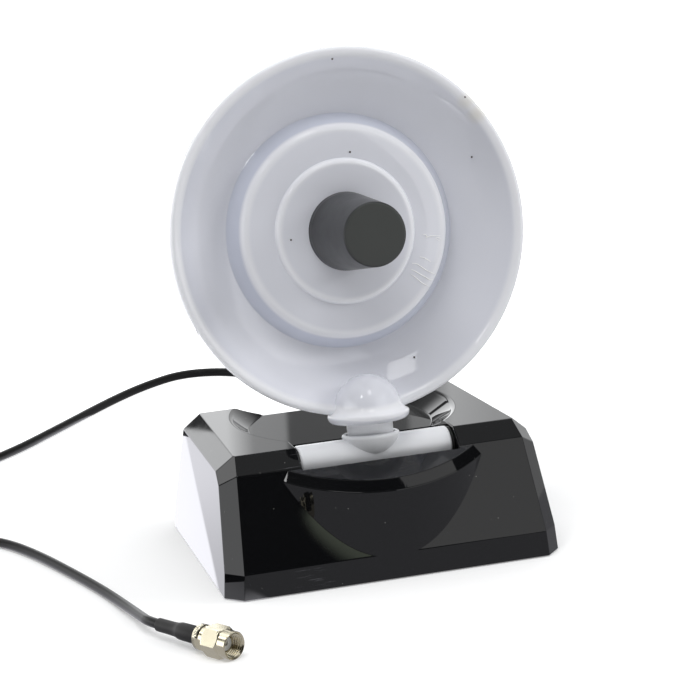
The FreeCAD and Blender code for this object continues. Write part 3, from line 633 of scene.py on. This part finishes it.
def dressed(node, material, body, sharp_degrees=30):
    """Smooth copy of a hard piece, with its own finish."""
    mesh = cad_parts[node].data.copy()
    bm = bmesh.new()
    bm.from_mesh(mesh)
    bmesh.ops.remove_doubles(bm, verts=bm.verts, dist=2e-6)
    bm.to_mesh(mesh)
    bm.free()
    piece = mesh_object(node + "_dressed", mesh, material)
    finish_shading(piece, sharp_degrees)
    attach(piece, body)
    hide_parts(node)
    return piece


def metal(name, colour, shade, clean, dull, scratch=0.05):
    """Plated or bare metal with handling marks and fine drawn scratches."""
    material, tree, bsdf = new_material(name)
    bsdf.inputs["Metallic"].default_value = 1.0
    marks = use_group(tree, handled, Patch_Scale=300.0, Clean=clean, Dull=dull)
    tree.links.new(marks.outputs[0], bsdf.inputs["Roughness"])
    skin = use_group(tree, ripple, Wave_Scale=200.0, Wave=scratch, Grain_Scale=6000.0, Grain=scratch)
    tree.links.new(skin.outputs[0], bsdf.inputs["Normal"])
    two_tone(tree, bsdf, colour, shade, 400.0, 2.0)
    return material


plate_black = plastic("plate_black", (0.022, 0.022, 0.023), (0.03, 0.03, 0.031), 0.45, 0.6, 0.02, 0.6)[0]
foot_rubber = plastic("foot_rubber", (0.018, 0.018, 0.018), (0.03, 0.03, 0.029), 0.6, 0.8, 0.05, 0.8)[0]
screw_zinc = metal("screw_zinc", (0.6, 0.6, 0.62), (0.5, 0.51, 0.54), 0.2, 0.38)
ballast_steel = metal("ballast_steel", (0.38, 0.38, 0.39), (0.28, 0.27, 0.26), 0.35, 0.6, 0.2)
dressed("base_plate", plate_black, "base")

# Feet and screws: rubber pads stuck on the plate and plated screws sunk in it. Both are
# bought in sets, so one tree sets a copy of the piece at each of its places.
repeat_tree = bpy.data.node_groups.new("repeated_piece", "GeometryNodeTree")
repeat_tree.is_modifier = True
for label, kind in (("Places", "Geometry"), ("Piece", "Object"), ("Size", "Float"), ("Finish", "Material")):
    repeat_tree.interface.new_socket(label, in_out="INPUT", socket_type="NodeSocket" + kind)
repeat_tree.interface.new_socket("Pieces", in_out="OUTPUT", socket_type="NodeSocketGeometry")
given, out = repeat_tree.nodes.new("NodeGroupInput"), repeat_tree.nodes.new("NodeGroupOutput")
points = add_node(repeat_tree, "GeometryNodeMeshToPoints")
pattern_in = add_node(repeat_tree, "GeometryNodeObjectInfo")
copies = add_node(repeat_tree, "GeometryNodeInstanceOnPoints")
solid = add_node(repeat_tree, "GeometryNodeRealizeInstances")
painted = add_node(repeat_tree, "GeometryNodeSetMaterial")
for source, target in (
        (given.outputs["Places"], points.inputs["Mesh"]),
        (given.outputs["Piece"], pattern_in.inputs["Object"]),
        (points.outputs["Points"], copies.inputs["Points"]),
        (pattern_in.outputs["Geometry"], copies.inputs["Instance"]),
        (given.outputs["Size"], copies.inputs["Scale"]),
        (copies.outputs["Instances"], solid.inputs["Geometry"]),
        (solid.outputs["Geometry"], painted.inputs["Geometry"]),
        (given.outputs["Finish"], painted.inputs["Material"]),
        (painted.outputs["Geometry"], out.inputs["Pieces"])):
    repeat_tree.links.new(source, target)


def repeated(name, nodes, material, body):
    """One mesh of equal pieces: the first node's shape, set at the middle of every node."""
    middles = []
    for node in nodes:
        corners = [Vector(corner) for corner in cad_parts[node].bound_box]
        middles.append(sum(corners, Vector()) / len(corners))
    bm = bmesh.new()
    bm.from_mesh(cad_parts[nodes[0]].data)
    bmesh.ops.remove_doubles(bm, verts=bm.verts, dist=2e-6)
    bmesh.ops.translate(bm, verts=bm.verts, vec=-middles[0])
    pattern = mesh_object(name + "_pattern", mesh_from(bm, name + "_pattern"))
    places = bpy.data.meshes.new(name + "_places")
    places.from_pydata(middles, [], [])
    piece = mesh_object(name, places)
    change = piece.modifiers.new("repeat", "NODES")
    change.node_group = repeat_tree
    sockets = {item.name: item.identifier for item in repeat_tree.interface.items_tree}
    change[sockets["Piece"]] = pattern
    change[sockets["Size"]] = 1.0
    change[sockets["Finish"]] = material
    piece_mesh = evaluated_mesh(piece)
    piece.modifiers.remove(change)
    piece.data = piece_mesh
    bpy.data.meshes.remove(places)
    bpy.data.objects.remove(pattern)
    finish_shading(piece, 30)
    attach(piece, body)
    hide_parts(*nodes)
    return piece


repeated("feet", ["foot_%d" % i for i in range(1, 5)], foot_rubber, "base")
repeated("base_screws", ["base_screw_%d" % i for i in range(1, 5)], screw_zinc, "base")


def finish_node(node, material):
    """Finish of a hidden piece that keeps its plain solid."""
    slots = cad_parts[node].data.materials
    slots.clear()
    slots.append(material)


finish_node("base_weight", ballast_steel)
for side in ("left", "right"):
    finish_node("hinge_cap_" + side, plate_black)
    for i in (1, 2):
        finish_node("cap_screw_%s_%d" % (side, i), screw_zinc)

# Hinge bar: a white semi-gloss bar across the slot with a funnel collar moulded on it,
# held at its ends by trunnions between thin nylon washers.
hinge_lean = math.radians(-9.6)
hinge_place = Matrix.Translation((0, hinge_y * MM, hinge_z * MM)) @ Matrix.Rotation(hinge_lean, 4, "X")
along_bar = hinge_place @ Matrix.Rotation(math.pi / 2, 4, "Y")
bar_radius = 4.95
bar_half = 22.5
bar_round = 0.8
pin_radius = 3
pin_end = 27.4
end_arc = [(bar_radius - bar_round * (1 - math.sin(a)), bar_half - bar_round * (1 - math.cos(a)))
           for a in (i * math.pi / 16 for i in range(9))]
bar_profile = [(0, -pin_end), (pin_radius, -pin_end), (pin_radius, -bar_half)]
bar_profile += [(r, -h) for r, h in end_arc] + list(reversed(end_arc))
bar_profile += [(pin_radius, bar_half), (pin_radius, pin_end), (0, pin_end)]
bar = lathe("hinge_bar", bar_profile, along_bar, 128)
collar_profile = [(0, -1), (3.6, -1), (4.5, 0.0)] + arc((4.5, 0.0), (7.05, 2.85), (8.17, 5.0), 14)
collar_profile += arc((8.17, 5.0), (8.17, 5.62), (7.8, 6.0), 5)
collar_profile += [(7.35, 6.0)] + arc((7.35, 6.0), (7.17, 5.93), (7.1, 5.76), 3) + [(7.1, 3.0), (0, 3.0)]


def joined(*meshes):
    """Shells of one moulding gathered in one mesh, each with its own clean surface."""
    bm = bmesh.new()
    for mesh in meshes:
        bm.from_mesh(mesh)
    bm.to_mesh(meshes[0])
    bm.free()
    return meshes[0]


bar = joined(bar, lathe("collar", collar_profile, hinge_place, 160))
hinge_white = plastic("hinge_white", (0.87, 0.88, 0.905), (0.84, 0.85, 0.875), 0.2, 0.3, 0.04, 0.06)[0]
bar_piece = mesh_object("hinge_bar_moulding", bar, hinge_white)
finish_shading(bar_piece, 22, False)
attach(bar_piece, "yoke")
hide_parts("hinge_bar")
nylon = plastic("nylon", (0.02, 0.02, 0.02), (0.028, 0.028, 0.027), 0.4, 0.55, 0.02, 0.3)[0]
# Painted shade: the washers are black so that the gaps at the bar's ends read as shaded.
for side in ("left", "right"):
    finish_node("friction_washer_" + side, nylon)
finish_node("swivel_clip", screw_zinc)

# Dish: one white moulding with a rolled rim, a bowl, two raised round steps and a bell
# knuckle at its foot; the stem is bonded into the knuckle and turns in the collar.
dish_height = 63.1
dish_middle = hinge_place @ Matrix.Translation((0, 0, dish_height * MM))
to_dish_axis = dish_middle @ Matrix.Rotation(-math.pi / 2, 4, "X")
dish_face = [(8.05, 3.7), (18.9, 3.7)]
dish_face += arc(dish_face[-1], (20.05, 4.05), (20.55, 4.8), 9)
dish_face += [(20.75, 5.0), (24.0, 5.0), (28.5, 5.0)]
dish_face += arc(dish_face[-1], (29.85, 5.5), (30.6, 6.7), 10)
dish_face += [(33.3, 10.62), (33.5, 10.75)]
dish_face += arc(dish_face[-1], (42.14, 7.39), (48.9, 1.05), 32)
dish_face += arc(dish_face[-1], (49.55, 0.45), (50.35, 0.1), 6)
dish_face += [(51.0, 0.0)] + arc((51.0, 0.0), (51.78, 0.32), (52.1, 1.1), 8)
dish_face += [(52.1, 2.4)] + arc((52.1, 2.4), (51.85, 3.15), (51.1, 3.5), 6)
dish_back_line = [(49.4, 4.3)] + arc((49.4, 4.3), (42.89, 10.03), (34.7, 12.9), 20)
dish_back_line += [(31.9, 12.9), (29.0, 7.1), (8.05, 7.1)]
dish = lathe("dish", dish_face + dish_back_line, to_dish_axis, 288)
wall_ring = [(40.4, 9.3), (42.4, 9.3), (42.4, 15.5), (40.4, 15.5)]
dome_high, dome_low, dome_radius = 22.6, 14.6, 9.33
knuckle_line = [(0, 9.3), (9.7, 9.3)]
knuckle_line += arc(knuckle_line[-1], (11.05, 9.85), (11.62, 11.1), 8)
knuckle_line += arc(knuckle_line[-1], (11.6, 11.62), (11.3, 12.0), 4)
knuckle_line += arc(knuckle_line[-1], (9.95, 13.1), (dome_radius, dome_low), 12)
dome_rise = dome_high - dome_low
ball = (dome_radius ** 2 + dome_rise ** 2) / (2 * dome_rise)
half_way = math.sqrt(0.5)
knuckle_line += arc(knuckle_line[-1], (ball * half_way, dome_high - ball * (1 - half_way)),
                    (0.0, dome_high), 24)
duct_plan = [(3.3, 13.0), (15.5, 13.0), (15.5, 21.7), (9.4, 21.7)]
duct = loft("duct", [[(x * MM, y * MM, s * MM) for y, s in duct_plan] for x in (-5, 5)])
soften_edges(duct, 1.5, lambda edge, angle: min(v.co.y for v in edge.verts) > 0.015, 4)
duct.transform(hinge_place)
cover_seat = lathe("cover_seat", wall_ring, to_dish_axis, 192)
knuckle = lathe("knuckle", knuckle_line, hinge_place, 192)
dish = joined(dish, cover_seat, knuckle, duct)
dish_white, tree, bsdf = plastic(
    "dish_white", (0.775, 0.785, 0.845), (0.755, 0.765, 0.825), 0.03, 0.08, 0.02, 0.01, specular=0.7)
place = add_node(tree, "ShaderNodeTexCoord").outputs["Object"]


def on_dish(across, above, depth):
    """Point of the dish from its middle, in mm, in the part's coordinates."""
    return to_dish_axis @ (Vector((across, -above, depth)) * MM)


# Painted highlight: the rounded step edges and the rim are tinted paler for the light they
# catch. Painted shade: the steep groove between step and bowl is tinted darker and bluer.
dish_aim = (on_dish(0, 0, 1) - on_dish(0, 0, 0)).normalized()
from_middle = add_node(tree, "ShaderNodeVectorMath", operation="SUBTRACT")
from_middle.inputs[1].default_value = on_dish(0, 0, 0)
tree.links.new(place, from_middle.inputs[0])
off_axis = add_node(tree, "ShaderNodeVectorMath", operation="CROSS_PRODUCT")
off_axis.inputs[1].default_value = dish_aim
tree.links.new(from_middle.outputs["Vector"], off_axis.inputs[0])
from_axis = add_node(tree, "ShaderNodeVectorMath", operation="LENGTH")
tree.links.new(off_axis.outputs["Vector"], from_axis.inputs[0])
along = add_node(tree, "ShaderNodeVectorMath", operation="DOT_PRODUCT")
along.inputs[1].default_value = dish_aim
tree.links.new(from_middle.outputs["Vector"], along.inputs[0])


def band(tree, radius, start, full, fade, end):
    """Ring mask between two radii in mm, soft at both sides."""
    return times(tree, ramp(tree, radius, start * MM, full * MM, 0.0, 1.0),
                 ramp(tree, radius, fade * MM, end * MM, 1.0, 0.0))


radius = from_axis.outputs["Value"]
in_front = ramp(tree, along.outputs["Value"], 11.5 * MM, 12.0 * MM, 1.0, 0.0)
steps = combine(tree, "MAXIMUM", band(tree, radius, 18.2, 19.7, 20.2, 20.9),
                band(tree, radius, 27.4, 29.2, 30.0, 30.9))
painted_rim_sheen = times(tree, band(tree, radius, 48.4, 49.9, 52.5, 53.0), 0.7)
edges = combine(tree, "MAXIMUM", times(tree, steps, 0.6), painted_rim_sheen)
painted_groove_shade = times(tree, band(tree, radius, 30.3, 30.9, 33.2, 33.6), 0.6)
stain = combine(tree, "MAXIMUM", spot(tree, place, on_dish(38.6, 33.2, 1.9) / MM, 4.0),
                spot(tree, place, on_dish(41.4, 29.2, 1.6) / MM, 4.0))
# Painted shade: darker, bluer tint in the groove.
tint_over(tree, bsdf, times(tree, painted_groove_shade, in_front), (0.56, 0.60, 0.72))
# Painted highlight: paler tint on the step edges and the rim.
tint_over(tree, bsdf, times(tree, edges, in_front), (0.93, 0.935, 0.96))
tint_over(tree, bsdf, times(tree, stain, 0.5), (0.74, 0.70, 0.58))
dish_piece = mesh_object("dish_moulding", dish, dish_white)
finish_shading(dish_piece, 22, False)
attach(dish_piece, "dish")
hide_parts("dish_shell")

# Marks on the dish: a few hairline white raised strokes on the wide step beside the post,
# and dark specks of grit that stick to the gloss.
white_stroke_lines = [
    [(21.26, -9.83), (22.58, -10.26), (23.46, -10.9), (24.55, -11.69)],
    [(18.9, -11.45), (20.12, -11.53), (21.53, -12.78), (23.13, -14.16), (25.7, -15.48)],
    [(18.4, -13.1), (19.71, -13.85), (21.12, -14.93), (22.56, -15.94), (24.17, -17.12), (24.6, -16.62)],
    [(18.0, -14.4), (19.16, -15.16), (20.21, -16.38), (21.63, -17.66), (23.25, -18.67)],
    [(22.95, -3.62), (24.28, -3.87), (23.6, -4.8), (24.53, -4.16), (28.0, -4.6)],
    [(26.58, -4.97), (27.6, -4.97), (28.0, -5.4)],
    [(26.6, -5.2), (27.7, -6.0)],
]
stroke_depth, stroke_radius = 5.0, 0.17


def round_line(name, radius, roundness, fineness, routes, end_size=1.0):
    """Curve of round section along each route, thinner at both ends where asked."""
    curve = bpy.data.curves.new(name, "CURVE")
    curve.dimensions = "3D"
    curve.bevel_depth = radius * MM
    curve.bevel_resolution = roundness
    curve.use_fill_caps = True
    for route in routes:
        spline = curve.splines.new("NURBS")
        spline.points.add(len(route) - 1)
        for point, spot_on_line in zip(spline.points, route):
            point.co = (*spot_on_line, 1)
        for end in (0, -1):
            spline.points[end].radius = end_size
        spline.order_u = 3
        spline.use_endpoint_u = True
        spline.resolution_u = fineness
    return curve


stroke_routes = [[on_dish(*point, stroke_depth) for point in line] for line in white_stroke_lines]
stroke_white = plastic("stroke_white", (0.97, 0.97, 0.97), (0.94, 0.94, 0.95), 0.35, 0.5, 0.02, 0.1)[0]
white_strokes = mesh_object("scuffs_line", round_line("white_strokes", stroke_radius, 1, 6, stroke_routes, 0.45))
stroke_mesh = evaluated_mesh(white_strokes)
bpy.data.objects.remove(white_strokes)
stroke_piece = mesh_object("dish_scuffs", stroke_mesh, stroke_white)
finish_shading(stroke_piece, 60, False)
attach(stroke_piece, "dish")
grit_radius = 0.28
grit_spots = [
    (0.07, 48.63, 1.2), (3.73, 22.02, 5.0), (37.76, 34.05, 0.1),
    (40.08, 16.64, 5.9), (-16.49, -0.61, 3.7), (17.46, -38.35, 7.1),
]
bm = bmesh.new()
for grit_spot in grit_spots:
    bmesh.ops.create_icosphere(bm, subdivisions=2, radius=grit_radius * MM,
                               matrix=Matrix.Translation(on_dish(*grit_spot)))
grit_mesh = mesh_from(bm, "grit")
grit_brown = plastic("grit_brown", (0.09, 0.07, 0.055), (0.05, 0.04, 0.035), 0.6, 0.8, 0.02, 0.1)[0]
grit_piece = mesh_object("dish_grit", grit_mesh, grit_brown)
finish_shading(grit_piece, 60, False)
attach(grit_piece, "dish")
dressed("swivel_stem", hinge_white, "dish")
dressed("dish_back", dish_white, "dish")
repeated("dish_screws", ["dish_screw_%d" % i for i in range(1, 4)], screw_zinc, "dish")

# Feed post: a charcoal tapered cap over the feed board, held from behind by a ring, with
# a plain sheet reflector round it inside the dish.
post_charcoal, tree, bsdf = plastic(
    "post_charcoal", (0.046, 0.049, 0.047), (0.056, 0.059, 0.056), 0.3, 0.42, 0.03, 0.35)
# The post's end is a matte disc; its side is tinted darker, painted shade for the side turned from the
# light.
facing = add_node(tree, "ShaderNodeVectorMath", operation="DOT_PRODUCT")
facing.inputs[1].default_value = -dish_aim
tree.links.new(add_node(tree, "ShaderNodeTexCoord").outputs["Normal"], facing.inputs[0])
painted_side_shade = ramp(tree, facing.outputs["Value"], 0.75, 0.92, 1.0, 0.0)
tint_over(tree, bsdf, painted_side_shade, (0.019, 0.020, 0.022))
dressed("feed_cover", post_charcoal, "dish", 40)
reflector_sheet = metal("reflector_sheet", (0.75, 0.75, 0.77), (0.68, 0.68, 0.7), 0.25, 0.4)
board_green = plastic("board_green", (0.05, 0.19, 0.08), (0.06, 0.22, 0.1), 0.25, 0.4, 0.02, 0.1)[0]
finish_node("reflector_plate", reflector_sheet)
finish_node("feed_board", board_green)
finish_node("feed_ring", nylon)

# Lead: thin black coaxial cord. It leaves through a rubber boot at the back, lies in a
# wide curve, is wound into a coil at the left and comes forward to the plug.
cord_black = plastic(
    "cord_black", (0.008, 0.008, 0.008), (0.012, 0.012, 0.012), 0.3, 0.38, 0.03, 0.2, specular=0.17)[0]
cord_radius = 1.4
run_route = [
    (14.0, 31.2, 11.0), (14.0, 58.0, 11.0), (17.5, 82.0, 3.0), (26.0, 110.0, 1.4), (33.0, 140.0, 1.4),
    (31.0, 170.0, 1.4), (19.0, 190.5, 1.4), (2.5, 196.2, 1.4), (-12.5, 188.0, 1.4), (-28.0, 175.0, 1.4),
    (-50.0, 152.5, 1.4), (-76.0, 126.5, 1.4), (-103.0, 110.0, 1.4),
]
tail_route = [
    (-107.0, 50.0, 1.4), (-96.0, 40.0, 1.4), (-89.5, 24.0, 1.4), (-84.0, 3.0, 1.4), (-79.4, -17.0, 1.4),
    (-77.0, -36.0, 2.0), (-76.4, -47.8, 3.1), (-76.13, -55.27, 4.0), (-70.7, -65.2, 4.0),
]
coil_middle = (-124.0, 76.0)
coil_outer = 21.1
turn_points = 16
layer_turns = 4
all_turns = 8.5
climb_turn = 0.25
turn_step = 2.82
layer_rise = 2.7
leave_step = 3.0
coil_ease = 1.01
coil_route = []
for i in range(int(all_turns * turn_points) + 1):
    turn = i / turn_points
    angle = math.pi / 2 + math.tau * turn
    if turn < layer_turns:
        reach = coil_outer - turn_step * turn
        rise = 0.0
    elif turn < layer_turns + climb_turn:
        reach = coil_outer - turn_step * layer_turns
        rise = (turn - layer_turns) / climb_turn
    elif turn < 2 * layer_turns + climb_turn:
        reach = coil_outer - turn_step * (2 * layer_turns + climb_turn - turn)
        rise = 1.0
    else:
        leave = (turn - 2 * layer_turns - climb_turn) / climb_turn
        reach = coil_outer + leave_step * leave
        rise = 1.0 - leave
    reach *= coil_ease
    coil_route.append((coil_middle[0] + reach * math.cos(angle), coil_middle[1] + reach * math.sin(angle),
                       cord_radius + layer_rise * rise))
route = [(x * MM, y * MM, z * MM) for x, y, z in run_route + coil_route + tail_route]
lead = mesh_object("lead", round_line("lead", cord_radius, 5, 8, [route]), cord_black)
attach(lead, "base")
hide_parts("cord_run", "cord_coil", "cord_tail")
boot = dressed("cord_grommet", cord_black, "base")
for node in ("pigtail_base", "pigtail_hinge", "pigtail_dish"):
    finish_node(node, cord_black)

# Plug: a pale gold plated screw-on radio plug. A loose hexagon nut with an inside thread
# turns on the body; a shrunk sleeve covers the crimp behind it.
plug_front = Vector((-60.6, -83.6, 4.0))
plug_aim = Vector((0.481, -0.877, 0)).normalized()
plug_long = 12.6
plug_side = Vector((0, 0, 1)).cross(plug_aim)
plug_turn = Matrix((plug_side, Vector((0, 0, 1)), plug_aim))
plug_place = Matrix.Translation((plug_front - plug_aim * plug_long) * MM) @ plug_turn.transposed().to_4x4()
plug_gold = metal("plug_gold", (0.80, 0.74, 0.56), (0.72, 0.66, 0.5), 0.12, 0.26, 0.03)
sleeve_black = plastic(
    "sleeve_black", (0.013, 0.012, 0.012), (0.019, 0.018, 0.018), 0.5, 0.65, 0.2, 0.5, specular=0.4)[0]
insulator_white = plastic("insulator_white", (0.8, 0.8, 0.77), (0.76, 0.76, 0.73), 0.35, 0.5, 0.02, 0.1)[0]
nut_points = 96


def nut_ring(distance, radius, flats=None):
    """One ring of the nut: a circle, cut by the hexagon's flats where they are given."""
    ring = []
    for i in range(nut_points):
        angle = math.tau * i / nut_points
        to_flat = (angle + math.pi / 6) % (math.pi / 3) - math.pi / 6
        reach = min(radius, flats / math.cos(math.pi / 6 - abs(to_flat)) if flats else radius)
        ring.append(Vector((reach * math.cos(angle), reach * math.sin(angle), distance)) * MM)
    return ring


half_flats = 4.0
corner = 4.7
chamfer = 0.85
chamfer_steps = 8
hex_low, hex_high = 3.5, 9.6
low_radius, high_radius = 3.8, 3.95
low_chamfer, high_chamfer = [], []
for i in range(chamfer_steps + 1):
    share = i / chamfer_steps
    low_reach = low_radius + (corner - low_radius) * share
    high_reach = high_radius + (corner - high_radius) * share
    low_chamfer.append(nut_ring(hex_low + chamfer * share, low_reach, half_flats))
    high_chamfer.append(nut_ring(hex_high - chamfer * share, high_reach, half_flats))
mouth = [(9.65, 3.92), (12.35, 3.92), (12.55, 3.8), (12.6, 3.62), (12.5, 3.5)]
thread_pitch = 0.7
crest, root = 2.98, 3.28
thread = []
t = 12.2
while t > 4.6:
    thread += [(t, root), (t - 0.12, root), (t - 0.3, crest), (t - 0.42, crest)]
    t -= thread_pitch
neck = [(4.2, 3.05), (3.0, 2.85), (2.95, 2.45), (2.1, 2.45), (2.0, 2.6), (2.0, 3.3), (2.15, 3.45)]
neck += [(3.4, 3.45)]
rings = low_chamfer + high_chamfer[::-1] + [nut_ring(*level) for level in mouth + thread + neck]
nut_mesh = loft("coupling_nut", rings, closed=True)
nut_mesh.transform(plug_place)
nut_piece = mesh_object("coupling_nut_turned", nut_mesh, plug_gold)
finish_shading(nut_piece, 28)
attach(nut_piece, "nut")
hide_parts("coupling_nut")
body_piece = dressed("plug_body", plug_gold, "base")
contact_piece = dressed("plug_contact", plug_gold, "base")
insulator_piece = dressed("plug_insulator", insulator_white, "base")
ring_piece = dressed("snap_ring", screw_zinc, "base")
sleeve_line = [(1.44, -16.2), (1.72, -16.2)] + arc((1.72, -16.2), (1.82, -16.15), (1.86, -16.0), 3)
sleeve_line += [(1.9, -11.0), (1.98, -9.2)] + arc((1.98, -9.2), (2.16, -8.3), (2.38, -7.5), 6)
sleeve_line += [(2.42, -6.0), (2.5, 1.2), (2.44, 1.35), (2.1, 1.35), (2.1, -8.0), (1.44, -8.5)]
sleeve_piece = mesh_object("sleeve", lathe("sleeve", sleeve_line, plug_place, 64), sleeve_black)
finish_shading(sleeve_piece, 40, False)
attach(sleeve_piece, "base")
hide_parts("heat_shrink")

# Tie: a flat strip of black rubber wrapped round the coil's left side. It holds the wound
# length of cord together and isn't fixed to anything else.
tie_reach = 15.6
tie_half, tie_low, tie_high = 7.5, 0.05, 5.95
tie_corner, tie_thick, tie_wide = 1.6, 0.5, 3.0
corner_points = 8
tie_rings = []
for i in range(4 * corner_points):
    quarter, step = divmod(i, corner_points)
    angle = math.pi / 2 * (quarter + step / (corner_points - 1))
    across = (1, -1, -1, 1)[quarter] * (tie_half - tie_corner)
    above = (1, 1, -1, -1)[quarter] * ((tie_high - tie_low) / 2 - tie_corner)
    ring = []
    for thick, wide in ((0, -0.5), (0, 0.5), (tie_thick, 0.5), (tie_thick, -0.5)):
        bend = tie_corner - thick
        ring.append(Vector((coil_middle[0] - tie_reach + across + bend * math.cos(angle),
                            coil_middle[1] + wide * tie_wide,
                            (tie_low + tie_high) / 2 + above + bend * math.sin(angle))) * MM)
    tie_rings.append(ring)
tie_piece = mesh_object("coil_tie", loft("coil_tie", tie_rings, closed=True), foot_rubber)
finish_shading(tie_piece, 40)
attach(tie_piece, "base")
